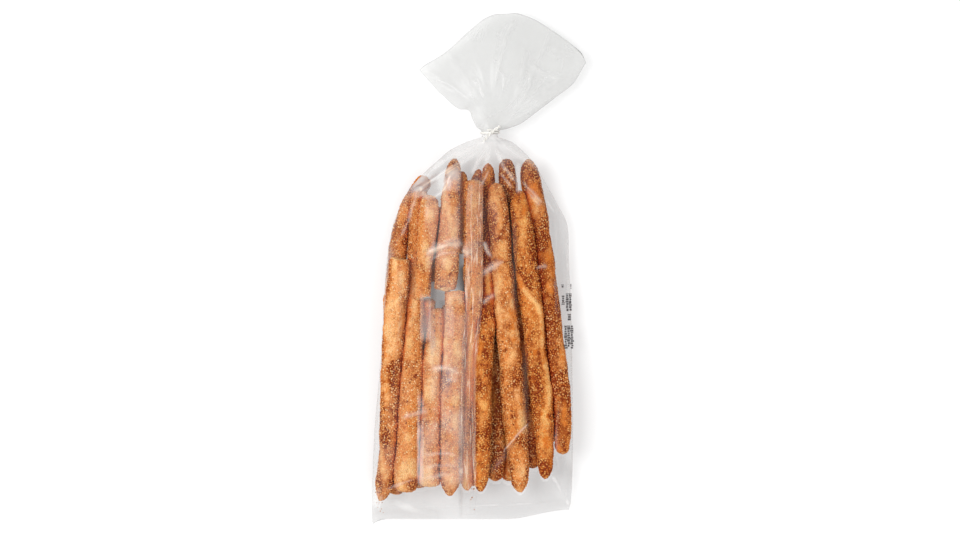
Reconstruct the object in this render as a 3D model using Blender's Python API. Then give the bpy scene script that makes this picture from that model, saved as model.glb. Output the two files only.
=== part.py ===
"""A clear bag of sesame breadsticks, tied at the neck and lying on its back.

Metres, +Z up. The origin is on the surface under the middle of the bag's box, +Y runs from the
sealed bottom to the tied neck and the open mouth above it, and the side with the back seam faces up.
"""

import math

import bmesh
import bpy
import numpy as np
from mathutils import Vector

MM = 0.001

# The neck, where the tie pulls the film together.
NECK_X = 7.0 * MM
NECK_Y = 96.6 * MM
NECK_Z = 14.0 * MM
NECK_RADIUS = 5.9 * MM
NECK_STRAIGHT = 1.7 * MM

# The body: (y, left x, right x, underside z, top z, squareness of the cross-section), in mm,
# from the sealed bottom up to the shoulders under the neck.
BODY_STATIONS = (
    (-175.6, -75.6, 62.6, 6.4, 8.2, 2.4),
    (-173.0, -76.0, 63.2, 5.6, 10.2, 2.4),
    (-167.0, -76.3, 63.8, 3.2, 16.8, 2.6),
    (-159.0, -76.2, 64.3, 0.8, 25.8, 3.0),
    (-149.0, -75.9, 64.9, 0.0, 31.4, 3.6),
    (-112.0, -74.2, 65.5, 0.0, 33.2, 4.0),
    (-70.0, -70.6, 65.0, 0.0, 33.6, 4.0),
    (-30.0, -68.0, 64.2, 0.0, 33.6, 4.0),
    (5.0, -65.9, 62.6, 0.0, 33.2, 4.0),
    (31.0, -61.4, 61.6, 0.0, 32.4, 3.8),
    (45.5, -55.9, 54.9, 0.4, 31.6, 3.4),
    (57.0, -49.6, 48.6, 1.0, 30.4, 3.0),
    (68.6, -38.9, 42.0, 2.2, 28.2, 2.7),
    (77.0, -29.6, 36.2, 3.8, 26.0, 2.5),
    (84.4, -20.8, 29.4, 5.6, 23.4, 2.3),
    (90.0, -9.4, 22.6, 7.6, 20.8, 2.1),
)

# The open end above the tie: a fan whose edge is this far from the neck, from its left corner
# round to its right corner, in mm.
FAN_EDGE = (65.4, 62.0, 62.5, 66.9, 74.4, 80.6, 82.4, 81.8, 81.4, 81.2, 84.0)
FAN_LEFT_ANGLE = math.radians(140.0)
FAN_RIGHT_ANGLES = tuple(math.radians(a) for a in (2.0, 7.0, 19.0, 24.5, 28.5, 34.5))
FAN_HALF_DEPTH = 10.0 * MM
FAN_RIM_HALF_DEPTH = 3.6 * MM
FAN_DROP = 2.5 * MM
# Shares of the way out from the neck: where the gathered neck is fully open, and where the fan is thickest.
FAN_OPENED = 0.22
FAN_THICKEST = 0.55

# How far up each cross-section its two sides lie, and how full its underside is.
SIDES_UP = 0.45
UNDERSIDE_FULLNESS = 1.14

# The sealed bottom edge rises towards its right end and has a small pointed left corner.
SEAL_RISE = 6.6 * MM
SEAL_RISE_FROM = 0.35
SEAL_CORNER = 3.6 * MM
SEAL_CORNER_FROM = 0.93
SEAL_BLEND = 14.0 * MM
FILM_EDGE = 0.7 * MM

# Soft ridges where the film lies over the breadsticks, and pleats that run out of the neck.
STICK_PITCH = 14.0 * MM
STICK_LEAN = 0.035
RIDGE_HEIGHT = 0.9 * MM
RIDGE_FROM_Y = -158.0 * MM
RIDGE_TO_Y = 62.0 * MM
RIDGE_BLEND = 12.0 * MM
PLEAT_COUNT = 7
PLEAT_DEPTH = 1.5 * MM
PLEAT_REACH = 34.0 * MM
PLEAT_START = 6.0 * MM
FAN_PLEAT_START = 0.1

# The wire tie.
TIE_RADIUS = 0.6 * MM
TIE_GAP = 0.3 * MM
TIE_TAIL = ((-5.0, -7.2, 11.0), (-2.6, -4.2, 9.0), (0.2, -1.0, 7.2), (3.4, 1.6, 7.4), (7.0, 3.9, 8.8))
TIE_SEGMENTS = 40
TIE_SIDES = 8
TAIL_POINTS = 15
TAIL_ROUNDING = 2

# How finely the bag is divided.
TOP_STEPS = 48
BASE_STEPS = 18
BODY_RINGS = 28
FAN_RINGS = 15
SIDE_CROWDING = 0.5
WELD = 1e-6

# Finishes: colour, roughness and opacity, and the angle above which an edge looks sharp.
FILM_FINISH = ((0.86, 0.72, 0.52), 0.22, 0.9)
WIRE_FINISH = ((0.86, 0.85, 0.80), 0.4, 1.0)
FILM_SHARP_DEGREES = 40
WIRE_SHARP_DEGREES = 50

COLLECTION = "bag_of_sesame_breadsticks"


def clear_scene():
    for old in list(bpy.data.objects):
        bpy.data.objects.remove(old, do_unlink=True)


def new_collection(name):
    made = bpy.data.collections.new(name)
    bpy.context.scene.collection.children.link(made)
    return made


def smoothstep(t):
    t = np.clip(t, 0.0, 1.0)
    return t * t * (3.0 - 2.0 * t)


def through(values, where):
    """A smooth curve through evenly spaced values, read at where, which runs from 0 to 1."""
    values = np.asarray(values, float)
    last = len(values) - 1
    at = np.clip(np.asarray(where, float), 0.0, 1.0) * last
    i = np.minimum(at.astype(int), last - 1)
    t = at - i
    before = values[np.maximum(i - 1, 0)]
    here = values[i]
    after = values[i + 1]
    beyond = values[np.minimum(i + 2, last)]
    bend = 2 * before - 5 * here + 4 * after - beyond
    twist = 3 * here - before - 3 * after + beyond
    return here + 0.5 * t * (after - before + t * (bend + t * twist))


def body_stations():
    """The body's rings, evenly spread along its length, as rows of BODY_STATIONS in metres."""
    rows = np.array(BODY_STATIONS, float)
    rows[:, :5] *= MM
    where = np.linspace(0.0, 1.0, BODY_RINGS)
    return np.stack([through(column, where) for column in rows.T], axis=1)


def across():
    """How far across the bag each point of a ring lies, from -1 to 1, and whether it is on top."""
    top = np.linspace(-1.0, 1.0, TOP_STEPS + 1)
    base = np.linspace(1.0, -1.0, BASE_STEPS + 1)[1:-1]
    share = np.concatenate([top, base])
    u = (1.0 - SIDE_CROWDING) * share + SIDE_CROWDING * np.sin(share * math.pi / 2)
    on_top = np.concatenate([np.ones(len(top), bool), np.zeros(len(base), bool)])
    return u, on_top


def dome(u, squareness):
    """The height of a rounded cross-section: 1 in the middle and 0 at its two sides."""
    return (1.0 - np.abs(u) ** squareness) ** (1.0 / squareness)


def pleats(u, away):
    """Folds that are deepest at the neck and fade out with the distance from it."""
    fade = PLEAT_DEPTH * np.exp(-((away / PLEAT_REACH) ** 2)) * smoothstep(away / PLEAT_START)
    return fade * np.cos(math.pi * PLEAT_COUNT * u) * (1.0 - u * u)


def body_ring(station, u, on_top):
    y, left, right, low, high, squareness = station
    x = (left + right) / 2 + u * (right - left) / 2
    middle = low + SIDES_UP * (high - low)
    height = dome(u, squareness)
    rising = smoothstep((y - RIDGE_FROM_Y) / RIDGE_BLEND)
    ridge_zone = rising * smoothstep((RIDGE_TO_Y - y) / RIDGE_BLEND)
    ridge = np.cos(2 * math.pi * (x + STICK_LEAN * y) / STICK_PITCH) - 1.0
    over_sticks = 0.5 * RIDGE_HEIGHT * ridge_zone * ridge * height
    folded = pleats(u, NECK_Y - y)
    z_top = middle + (high - middle) * height + over_sticks + folded
    z_base = np.maximum(middle - UNDERSIDE_FULLNESS * (middle - low) * height, low)
    at_seal = 1.0 - smoothstep((y - BODY_STATIONS[0][0] * MM) / SEAL_BLEND)
    risen = SEAL_RISE * smoothstep((u - SEAL_RISE_FROM) / (1.0 - SEAL_RISE_FROM))
    y_edge = risen - SEAL_CORNER * smoothstep((-u - SEAL_CORNER_FROM) / (1.0 - SEAL_CORNER_FROM))
    z = np.where(on_top, z_top + FILM_EDGE / 2, np.maximum(z_base - FILM_EDGE / 2, 0.0))
    return np.stack([x, y + at_seal * y_edge, z], axis=1)


def neck_ring(y, u, on_top):
    side = np.sqrt(np.maximum(1.0 - u * u, 0.0))
    z = NECK_Z + NECK_RADIUS * np.where(on_top, side, -side)
    return np.stack([NECK_X + NECK_RADIUS * u, np.full(len(u), y), z], axis=1)


def fan_ring(share, u, on_top):
    """A ring of the open end: share is 0 at the neck and 1 at the mouth's edge."""
    edge = through(FAN_EDGE, (u + 1) / 2) * MM
    right_angle = through(FAN_RIGHT_ANGLES, share)
    angle = FAN_LEFT_ANGLE + (u + 1) / 2 * (right_angle - FAN_LEFT_ANGLE)
    from_neck = share * edge
    gathered = NECK_RADIUS * (1.0 - smoothstep(share / FAN_OPENED))
    x = NECK_X + gathered * u + from_neck * np.cos(angle)
    y = NECK_Y + NECK_STRAIGHT + from_neck * np.sin(angle)
    grown = NECK_RADIUS + (FAN_HALF_DEPTH - NECK_RADIUS) * smoothstep(share / FAN_THICKEST)
    to_rim = smoothstep((share - FAN_THICKEST) / (1.0 - FAN_THICKEST))
    half = grown + (FAN_RIM_HALF_DEPTH - FAN_HALF_DEPTH) * to_rim
    height = half * np.sqrt(np.maximum(1.0 - u * u, 0.0))
    middle = NECK_Z - FAN_DROP * smoothstep(share)
    folded = pleats(u, from_neck) * smoothstep(share / FAN_PLEAT_START)
    z = np.where(on_top, middle + height + FILM_EDGE / 2, middle - height - FILM_EDGE / 2) + folded
    return np.stack([x, y, z], axis=1)


def bag_rings():
    u, on_top = across()
    rings = [body_ring(station, u, on_top) for station in body_stations()]
    rings += [neck_ring(NECK_Y + dy, u, on_top) for dy in (-NECK_STRAIGHT, 0.0, NECK_STRAIGHT)]
    rings += [fan_ring(share, u, on_top) for share in np.linspace(0.0, 1.0, FAN_RINGS + 1)[1:]]
    return rings


def end_faces(ring_length):
    """Faces that close an end of the loft, row by row between its top and its base points."""
    top = list(range(TOP_STEPS + 1))
    base = [0] + list(range(ring_length - 1, TOP_STEPS, -1)) + [TOP_STEPS]
    faces = []
    i = j = 0
    while i < len(top) - 1 or j < len(base) - 1:
        top_share = (i + 1) / (len(top) - 1)
        base_share = (j + 1) / (len(base) - 1)
        if j == len(base) - 1 or (i < len(top) - 1 and top_share <= base_share):
            faces.append((top[i], top[i + 1], base[j]))
            i += 1
        else:
            faces.append((top[i], base[j + 1], base[j]))
            j += 1
    return [face for face in faces if len(set(face)) == 3]


def loft(name, rings):
    """A closed solid through rings of equal length, with both of its ends filled."""
    mesh = bmesh.new()
    rows = [[mesh.verts.new(Vector(point)) for point in ring] for ring in rings]
    count = len(rows[0])
    for lower, upper in zip(rows, rows[1:]):
        for i in range(count):
            k = (i + 1) % count
            mesh.faces.new((lower[i], lower[k], upper[k], upper[i]))
    for row in (rows[0], rows[-1]):
        for face in end_faces(count):
            mesh.faces.new([row[i] for i in face])
    bmesh.ops.recalc_face_normals(mesh, faces=mesh.faces[:])
    bmesh.ops.triangulate(mesh, faces=mesh.faces[:])
    data = bpy.data.meshes.new(name)
    mesh.to_mesh(data)
    mesh.free()
    return bpy.data.objects.new(name, data)


def finish_of(name, colour, roughness, opacity):
    """A plain finish of that colour."""
    material = bpy.data.materials.new(name)
    material.use_nodes = True
    shader = material.node_tree.nodes["Principled BSDF"]
    shader.inputs["Base Color"].default_value = (*colour, 1.0)
    shader.inputs["Roughness"].default_value = roughness
    shader.inputs["Metallic"].default_value = 0.0
    shader.inputs["Alpha"].default_value = opacity
    return material


def shade_round(obj, sharp_degrees):
    obj.data.shade_smooth()
    obj.data.set_sharp_from_angle(angle=math.radians(sharp_degrees))


def make_bag(collection):
    bag = loft("bag", bag_rings())
    bag.data.materials.append(finish_of("clear_film", *FILM_FINISH))
    shade_round(bag, FILM_SHARP_DEGREES)
    collection.objects.link(bag)
    return bag


def tie_tail():
    """The wire's two ends, as one bent wire that crosses the front of the loop."""
    curve = bpy.data.curves.new("tie_tail", "CURVE")
    curve.dimensions = "3D"
    curve.bevel_depth = TIE_RADIUS
    curve.bevel_resolution = TAIL_ROUNDING
    curve.use_fill_caps = True
    spline = curve.splines.new("POLY")
    points = np.array(TIE_TAIL) * MM
    smooth = np.stack([through(column, np.linspace(0.0, 1.0, TAIL_POINTS)) for column in points.T], axis=1)
    spline.points.add(len(smooth) - 1)
    for point, place in zip(spline.points, smooth):
        point.co = (NECK_X + place[0], NECK_Y + place[1], NECK_Z + place[2], 1.0)
    return bpy.data.objects.new("tie_tail", curve)


def as_mesh(obj, name):
    """The object's evaluated shape as a plain mesh object, with its caps welded."""
    bpy.context.view_layer.update()
    graph = bpy.context.evaluated_depsgraph_get()
    data = bpy.data.meshes.new_from_object(obj.evaluated_get(graph))
    mesh = bmesh.new()
    mesh.from_mesh(data)
    bmesh.ops.remove_doubles(mesh, verts=mesh.verts[:], dist=WELD)
    bmesh.ops.recalc_face_normals(mesh, faces=mesh.faces[:])
    mesh.to_mesh(data)
    mesh.free()
    made = bpy.data.objects.new(name, data)
    made.matrix_world = obj.matrix_world
    bpy.data.objects.remove(obj, do_unlink=True)
    return made


def make_tie(collection, cutters):
    """One closed loop of wire round the neck, with its twisted ends across the front."""
    loop_radius = NECK_RADIUS + TIE_GAP + TIE_RADIUS
    bpy.ops.mesh.primitive_torus_add(
        major_radius=loop_radius,
        minor_radius=TIE_RADIUS,
        major_segments=TIE_SEGMENTS,
        minor_segments=TIE_SIDES,
        location=(NECK_X, NECK_Y, NECK_Z),
        rotation=(math.pi / 2, 0.0, 0.0),
    )
    tie = bpy.context.object
    tie.name = "tie"
    tie.data.name = "tie"
    for old in list(tie.users_collection):
        old.objects.unlink(tie)
    collection.objects.link(tie)
    tail = tie_tail()
    cutters.objects.link(tail)
    tail = as_mesh(tail, "tie_tail")
    cutters.objects.link(tail)
    tail.hide_render = True
    tail.display_type = "WIRE"
    join = tie.modifiers.new("tail", "BOOLEAN")
    join.operation = "UNION"
    join.object = tail
    tie.data.materials.append(finish_of("tie_wire", *WIRE_FINISH))
    shade_round(tie, WIRE_SHARP_DEGREES)
    return tie


def main():
    clear_scene()
    parts = new_collection(COLLECTION)
    cutters = new_collection("cutters")
    make_bag(parts)
    make_tie(parts, cutters)


main()
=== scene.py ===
"""Looks of a clear bag of sesame breadsticks that lies on its back, with its back seam up.

Metres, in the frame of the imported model: +Y runs from the sealed bottom to the tied neck.
Tables of places are in millimetres.
"""

import math

import bpy
import numpy as np
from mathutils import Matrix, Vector


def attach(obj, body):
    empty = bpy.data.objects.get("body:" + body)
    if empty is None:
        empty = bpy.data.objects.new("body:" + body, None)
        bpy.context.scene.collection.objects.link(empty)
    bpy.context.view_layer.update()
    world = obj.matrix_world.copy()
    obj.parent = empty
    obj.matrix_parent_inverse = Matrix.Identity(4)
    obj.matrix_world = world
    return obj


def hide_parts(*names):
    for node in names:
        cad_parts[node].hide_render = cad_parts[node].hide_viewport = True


MM = 0.001

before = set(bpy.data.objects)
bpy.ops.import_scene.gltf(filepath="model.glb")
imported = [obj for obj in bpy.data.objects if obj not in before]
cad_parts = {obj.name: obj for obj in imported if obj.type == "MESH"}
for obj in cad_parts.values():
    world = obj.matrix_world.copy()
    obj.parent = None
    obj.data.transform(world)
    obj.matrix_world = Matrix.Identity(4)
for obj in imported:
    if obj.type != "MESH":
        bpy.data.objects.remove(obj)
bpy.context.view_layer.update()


# ---------------------------------------------------------------- small maths


def smoothstep(low, high, value):
    t = np.clip((value - low) / (high - low), 0.0, 1.0)
    return t * t * (3.0 - 2.0 * t)


def through(values, where):
    """A smooth curve through evenly spaced values, read at where, which runs from 0 to 1."""
    values = np.asarray(values, float)
    last = len(values) - 1
    at = np.clip(np.asarray(where, float), 0.0, 1.0) * last
    i = np.minimum(at.astype(int), last - 1)
    t = at - i
    before = values[np.maximum(i - 1, 0)]
    here = values[i]
    after = values[i + 1]
    beyond = values[np.minimum(i + 2, last)]
    bend = 2 * before - 5 * here + 4 * after - beyond
    twist = 3 * here - before - 3 * after + beyond
    return here + 0.5 * t * (after - before + t * (bend + t * twist))


def mix(a, b, share):
    return a + (b - a) * share


def lattice_value(ix, iy, iz, seed):
    """A repeatable number from -1 to 1 for each whole-numbered place."""
    n = ix * 73856093 ^ iy * 19349663 ^ iz * 83492791 ^ seed * 2654435761
    n = (n ^ (n >> 13)) * 1274126177
    n = (n ^ (n >> 16)) & 0x7FFFFFFF
    return n / 0x3FFFFFFF - 1.0


def ripple(points, size, seed):
    """Smooth noise from -1 to 1 that changes over about size, a length or one for each axis."""
    place = np.asarray(points, float) / np.asarray(size, float) + 0.37 * seed
    cell = np.floor(place).astype(np.int64)
    inside = place - cell
    inside = inside * inside * (3.0 - 2.0 * inside)
    total = np.zeros(len(place))
    for corner in np.ndindex(2, 2, 2):
        wx, wy, wz = np.where(corner, inside, 1.0 - inside).T
        total += wx * wy * wz * lattice_value(*(cell + corner).T, seed)
    return total


def layered(points, size, seed, layers=3):
    """Noise of several sizes, each half the one before."""
    total = sum(ripple(points, np.asarray(size) / 2**k, seed + 11 * k) / 2**k for k in range(layers))
    return total / sum(0.5**k for k in range(layers))


def near_path(points, path):
    """For each (x, y), its distance from a path, and its nearest point's share of the path, from 0 to 1."""
    best = np.full(len(points), np.inf)
    share = np.zeros(len(points))
    last = len(path) - 1
    for k, (a, b) in enumerate(zip(path, path[1:])):
        along = b - a
        t = np.clip((points - a) @ along / max(along @ along, 1e-12), 0.0, 1.0)
        gap = points - (a + t[:, None] * along)
        away = np.hypot(gap[:, 0], gap[:, 1])
        closer = away < best
        best = np.where(closer, away, best)
        share = np.where(closer, (k + t) / last, share)
    return best, share


def ways(path, up=(0.0, 0.0, 1.0)):
    """The unit ways along a path, to its side, and across both, at each of its points."""
    along = np.gradient(path, axis=0)
    along /= np.linalg.norm(along, axis=1)[:, None]
    side = np.cross(along, up)
    side /= np.linalg.norm(side, axis=1)[:, None]
    return along, side, np.cross(side, along)


# ---------------------------------------------------------------- meshes


def grid_faces(rows, columns, wraps):
    """Faces of a grid of points, row by row; wraps joins its last column to the first."""
    i = np.arange(rows - 1)[:, None] * columns
    j = np.arange(columns if wraps else columns - 1)[None, :]
    k = (j + 1) % columns
    quads = np.stack([i + j, i + k, i + columns + k, i + columns + j], axis=-1)
    return quads.reshape(-1, 4)


def closed_tube(rows, columns):
    """Faces of a tube whose rings run the other way round than a grid's rows, with a flat face at each end."""
    faces = grid_faces(rows, columns, True)[:, ::-1].tolist()
    return faces + [list(range(columns)), list(range((rows - 1) * columns, rows * columns))[::-1]]


def new_mesh(name, points, faces):
    data = bpy.data.meshes.new(name)
    data.from_pydata(np.asarray(points, float).tolist(), [], [list(face) for face in faces])
    data.update()
    piece = bpy.data.objects.new(name, data)
    bpy.context.scene.collection.objects.link(piece)
    return piece


def add_attributes(piece, **values):
    """Gives each point of the piece a number for each name."""
    count = len(piece.data.vertices)
    for name, value in values.items():
        attribute = piece.data.attributes.new(name, "FLOAT", "POINT")
        attribute.data.foreach_set("value", np.broadcast_to(np.ravel(value), count).astype(np.float32))


# ---------------------------------------------------------------- stage

VIEW_WIDTH = 672.0 * MM
VIEW_HEIGHT_OF_FOCUS = 20.0 * MM
LENS = 90.0
SENSOR = 36.0
CAMERA_DISTANCE = VIEW_WIDTH * LENS / SENSOR
# Each light: its place, the side of its square, and its watts.
LIGHTS = {
    "key": ((-0.70, 0.15, 1.30), 0.75, 15.0),
    "fill": ((0.55, -0.75, 1.30), 0.80, 6.5),
}
SKY_STRENGTH = 0.60
FLOOR_HALF = 3.0
FLOOR_GREY = 0.52
FLOOR_GLOW = 0.42


def add_camera():
    data = bpy.data.cameras.new("camera")
    data.lens = LENS
    data.sensor_width = SENSOR
    data.clip_start = 0.05
    data.clip_end = 20.0
    camera = bpy.data.objects.new("camera", data)
    camera.location = (0.0, 0.0, VIEW_HEIGHT_OF_FOCUS + CAMERA_DISTANCE)
    bpy.context.scene.collection.objects.link(camera)
    bpy.context.scene.camera = camera


def add_area_light(name, place, size, watts):
    """A square light that shines on the object from its place."""
    data = bpy.data.lights.new(name, "AREA")
    data.size = size
    data.energy = watts
    light = bpy.data.objects.new(name, data)
    light.location = place
    light.rotation_mode = "QUATERNION"
    light.rotation_quaternion = (-Vector(place)).to_track_quat("-Z", "Y")
    bpy.context.scene.collection.objects.link(light)


def add_sky():
    world = bpy.data.worlds.new("studio")
    world.use_nodes = True
    background = world.node_tree.nodes["Background"]
    background.inputs["Color"].default_value = (1.0, 1.0, 1.0, 1.0)
    background.inputs["Strength"].default_value = SKY_STRENGTH
    bpy.context.scene.world = world


def add_floor():
    corners = [(-FLOOR_HALF, -FLOOR_HALF, 0.0), (FLOOR_HALF, -FLOOR_HALF, 0.0)]
    corners += [(-x, -y, 0.0) for x, y, _ in corners]
    floor = new_mesh("floor", corners, [(0, 1, 2, 3)])
    floor.data.materials.append(Finish("pale_floor").done({
        "Base Color": (FLOOR_GREY,) * 3, "Emission Color": (1.0, 1.0, 1.0), "Emission Strength": FLOOR_GLOW,
        "Roughness": 0.9, "Specular IOR Level": 0.1,
    }))


def set_up_stage():
    add_camera()
    add_sky()
    for name, light in LIGHTS.items():
        add_area_light(name, *light)
    add_floor()
    scene = bpy.context.scene
    scene.view_settings.view_transform = "Standard"
    scene.cycles.transparent_max_bounces = 40
    scene.cycles.max_bounces = 10


# ---------------------------------------------------------------- breadsticks

# Each stick from its top end down: (y, x, width, height of its middle above the surface).
STICKS = {
    "stick_left_broken": {
        "path": (
            (7.7, -55.4, 14.2, 23), (-21, -58.2, 15.2, 24), (-56, -60.8, 14.4, 24), (-91, -62.9, 13.4, 23.6),
            (-112, -63.6, 13.0, 22.5), (-140, -64.4, 12.6, 21), (-150, -65.8, 13.4, 19.5),
            (-156, -67.6, 9.4, 18), (-162, -70.2, 4.6, 16.5),
        ),
        "ends": ("broken", "point"), "tone": -0.02, "golden": 0.1,
    },
    "stick_left_behind": {
        "path": (
            (65.5, -33.6, 8, 11), (60.5, -39.4, 11.4, 11), (53, -46.2, 12.4, 11), (43, -51.2, 12.8, 11),
            (31, -54.9, 12.8, 11), (17, -57.6, 12.8, 10), (0, -60.2, 12.6, 9), (-91, -60.5, 12.6, 8),
            (-150, -58.6, 12, 8), (-158, -60.5, 11, 8),
        ),
        "ends": ("round", "blunt"), "tone": 0.12,
    },
    "stick_second": {
        "path": (
            (57, -41.6, 10.5, 15), (28, -44.0, 12.6, 15), (0, -44.7, 12.8, 15.5), (-21, -45.6, 13, 18),
            (-56, -47.0, 14.0, 23), (-91, -48.9, 15.2, 24), (-126, -50.3, 16.0, 24),
            (-147, -51.4, 16.6, 23.6), (-155, -51.8, 14.6, 22.5),
        ),
        "ends": ("round", "blunt"), "tone": -0.16, "golden": 0.15,
    },
    "stick_short_left": {
        "path": (
            (52, -35.2, 10.5, 22), (40.6, -35.1, 13.4, 25), (28, -36.4, 13.2, 25.4), (14, -38.2, 12.2, 25.4),
            (0, -39.8, 11.4, 25.2), (-19.6, -40.4, 11.0, 25),
        ),
        "ends": ("round", "broken"), "tone": -0.2, "golden": 0.25,
    },
    "stick_third": {
        "path": (
            (-27, -28.8, 11.6, 17), (-36, -29.0, 13.0, 16.5), (-46, -29.6, 13.8, 17), (-63, -33.4, 14.2, 21),
            (-91, -33.9, 13.8, 23.5), (-126, -34.8, 15.2, 23.5), (-151.5, -35.4, 15.8, 22),
        ),
        "ends": ("blunt", "blunt"), "tone": -0.18, "golden": 0.2,
    },
    "stick_short_middle": {
        "path": (
            (78, -17.6, 9, 19), (63, -18.6, 11.2, 21), (49, -20.4, 12.6, 23.5), (28, -21.5, 14.8, 24.2),
            (0, -23.3, 15.4, 24.5), (-14, -24.5, 15.2, 24.5),
        ),
        "ends": ("point", "broken"), "tone": -0.24, "golden": 0.25,
    },
    "stick_middle_broken": {
        "path": (
            (-14.7, -17.2, 14.4, 24), (-35, -17.0, 14.8, 24.5), (-56, -17.6, 15.6, 24.5), (-91, -19.4, 15.8, 24.3),
            (-126, -19.9, 14.8, 24), (-145, -20.3, 14.0, 23.6), (-158, -21.6, 10.0, 22.5),
        ),
        "ends": ("broken", "point"), "tone": -0.2, "golden": 0.25,
    },
    # Paler, partly its own colour and partly painted light against the shade under the seam.
    "stick_under_seam": {
        "path": (
            (62.5, -4.7, 12.8, 22), (52.5, -4.4, 12.8, 24), (14, -4.6, 12.8, 24.3), (-14, -4.2, 12.8, 22),
            (-56, -4.6, 12.8, 19), (-91, -7.4, 12.8, 20), (-126, -8, 12.6, 20), (-154.5, -9.1, 10.5, 19),
        ),
        "ends": ("blunt", "point"), "tone": -0.18, "golden": 0.6,
    },
    "stick_centre": {
        "path": (
            (75, 5.6, 8, 13), (49, 4.9, 11.5, 14), (14, 5, 12, 15), (-21, 5, 12.2, 17), (-42, 3.2, 12.6, 20),
            (-56, 1.6, 12.6, 22), (-91, 0.9, 12.8, 24), (-126, 1.1, 12.4, 24), (-155, 0.2, 9.5, 22),
        ),
        "ends": ("point", "point"), "tone": 0.24, "golden": 1.0,
    },
    "stick_right_pale": {
        "path": (
            (60.5, 10.2, 9, 22), (49, 12.1, 12.6, 23.8), (28, 13.4, 14.2, 24.4), (7, 15, 14.4, 24.6),
            (-21, 17.2, 14.8, 24.6), (-56, 21, 15.4, 24.6), (-91, 23.5, 16, 24.6), (-126, 26.4, 14.8, 24),
            (-143, 27.6, 13.2, 23), (-155.5, 28.2, 9, 22),
        ),
        "ends": ("round", "point"), "tone": 0.09, "golden": 0.45,
    },
    "stick_right_ridge": {
        "path": (
            (55.5, 26, 8, 23), (49, 26.5, 10.5, 24.4), (35, 29, 13.6, 25), (14, 31.5, 15.2, 25.4),
            (-14, 35, 15.5, 25.4), (-35, 36.8, 15.2, 25.4), (-56, 38.9, 14.8, 25), (-91, 43.4, 15.4, 24.5),
            (-119, 45.8, 13, 24), (-146, 45.4, 8.5, 22.5),
        ),
        "ends": ("round", "point"), "tone": 0.15, "golden": 0.95,
    },
    "stick_far_right": {
        "path": (
            (78, 33.6, 9, 17), (68.6, 34.2, 12.4, 18), (56, 36.2, 14.4, 18), (42, 39.4, 14.4, 17.5),
            (28, 42, 14.2, 17.5), (0, 44.9, 13.8, 18), (-21, 48.3, 13.8, 20), (-56, 52.3, 13.6, 23),
            (-91, 57, 13, 23.5), (-112, 58, 12.6, 23.5), (-128.5, 57.5, 9, 22),
        ),
        "ends": ("point", "round"), "tone": 0.36, "golden": 0.4,
    },
    # Paler as painted light, so that it reads lit deep in the gap between its neighbours.
    "back_middle_left": {
        "path": ((69, -14.0, 7, 21), (49, -13.2, 9.4, 20), (30, -13.2, 9.6, 19), (12, -13.6, 10, 18)),
        "ends": ("point", "broken"), "tone": -0.45, "golden": 0.6,
    },
    "back_middle_left_low": {
        "path": ((-24, -22, 11.5, 8), (-56, -21, 12.8, 8), (-126, -18.8, 12.8, 8), (-150, -18.5, 11, 8)),
        "ends": ("round", "round"), "tone": 0.18,
    },
    # Paler as painted light, so that it reads lit deep in the gap between its neighbours.
    "back_left_upper": {
        "path": ((44, -29.0, 9.5, 17), (20, -29.6, 9.6, 17), (0, -31, 10, 16), (-8, -31, 10, 15)),
        "ends": ("round", "broken"), "tone": -0.5,
    },
    "back_middle": {
        "path": (
            (71, 0.8, 7, 14), (49, 0.6, 11.2, 11), (-21, -2.6, 12.6, 8), (-91, -4.6, 12.8, 8),
            (-126, -4.4, 12.8, 8), (-152, -4, 11, 8),
        ),
        "ends": ("point", "round"), "tone": 0.15,
    },
    "back_right_top": {
        "path": (
            (78, 18.4, 9, 15), (63, 19.3, 12.4, 15), (40, 21.6, 12.8, 15), (14, 24.6, 12.8, 17),
            (-21, 26.8, 12.8, 17.5), (-56, 29.8, 12.8, 17), (-91, 33.4, 12.8, 16.5), (-118, 36.4, 12.4, 15),
            (-139, 37.4, 11, 14),
        ),
        "ends": ("round", "round"), "tone": 0.42, "golden": 0.0,
    },
    "back_centre_right": {
        "path": (
            (30, 10.5, 11, 8), (-20, 9.6, 12.6, 9), (-56, 10.6, 12.8, 11), (-91, 12.0, 12.8, 13),
            (-126, 12.6, 12.8, 14), (-148, 11.4, 11, 13),
        ),
        "ends": ("round", "round"), "tone": 0.28, "golden": 0.0,
    },
    "back_centre_low": {
        "path": ((-60, 21, 11, 8), (-91, 24.5, 12.8, 8), (-134, 20.5, 12.4, 9), (-148.5, 18.4, 11, 9)),
        "ends": ("round", "round"), "tone": 0.2,
    },
    "back_far_right": {
        "path": ((18, 43.0, 11, 8), (-20, 47.0, 12.4, 8), (-91, 50.4, 12.6, 8), (-121, 51.6, 11, 8)),
        "ends": ("round", "round"), "tone": 0.15,
    },
    "back_left_second": {
        "path": ((-36, -49.0, 11.5, 8), (-60, -49.0, 12.8, 8), (-110, -44.6, 12.8, 8), (-153.5, -43.0, 12, 8)),
        "ends": ("broken", "blunt"), "tone": 0.15,
    },
    "back_left_third": {
        "path": (
            (-20.5, -38.2, 9.8, 19.5), (-34, -38.2, 10.6, 19), (-50, -38.6, 11.6, 16), (-64, -38.6, 12.6, 11),
            (-84, -34.4, 12.6, 8), (-110, -31.0, 12.8, 8), (-149.5, -28.4, 12, 8),
        ),
        "ends": ("blunt", "blunt"), "tone": -0.3, "golden": 0.1,
    },
}

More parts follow.
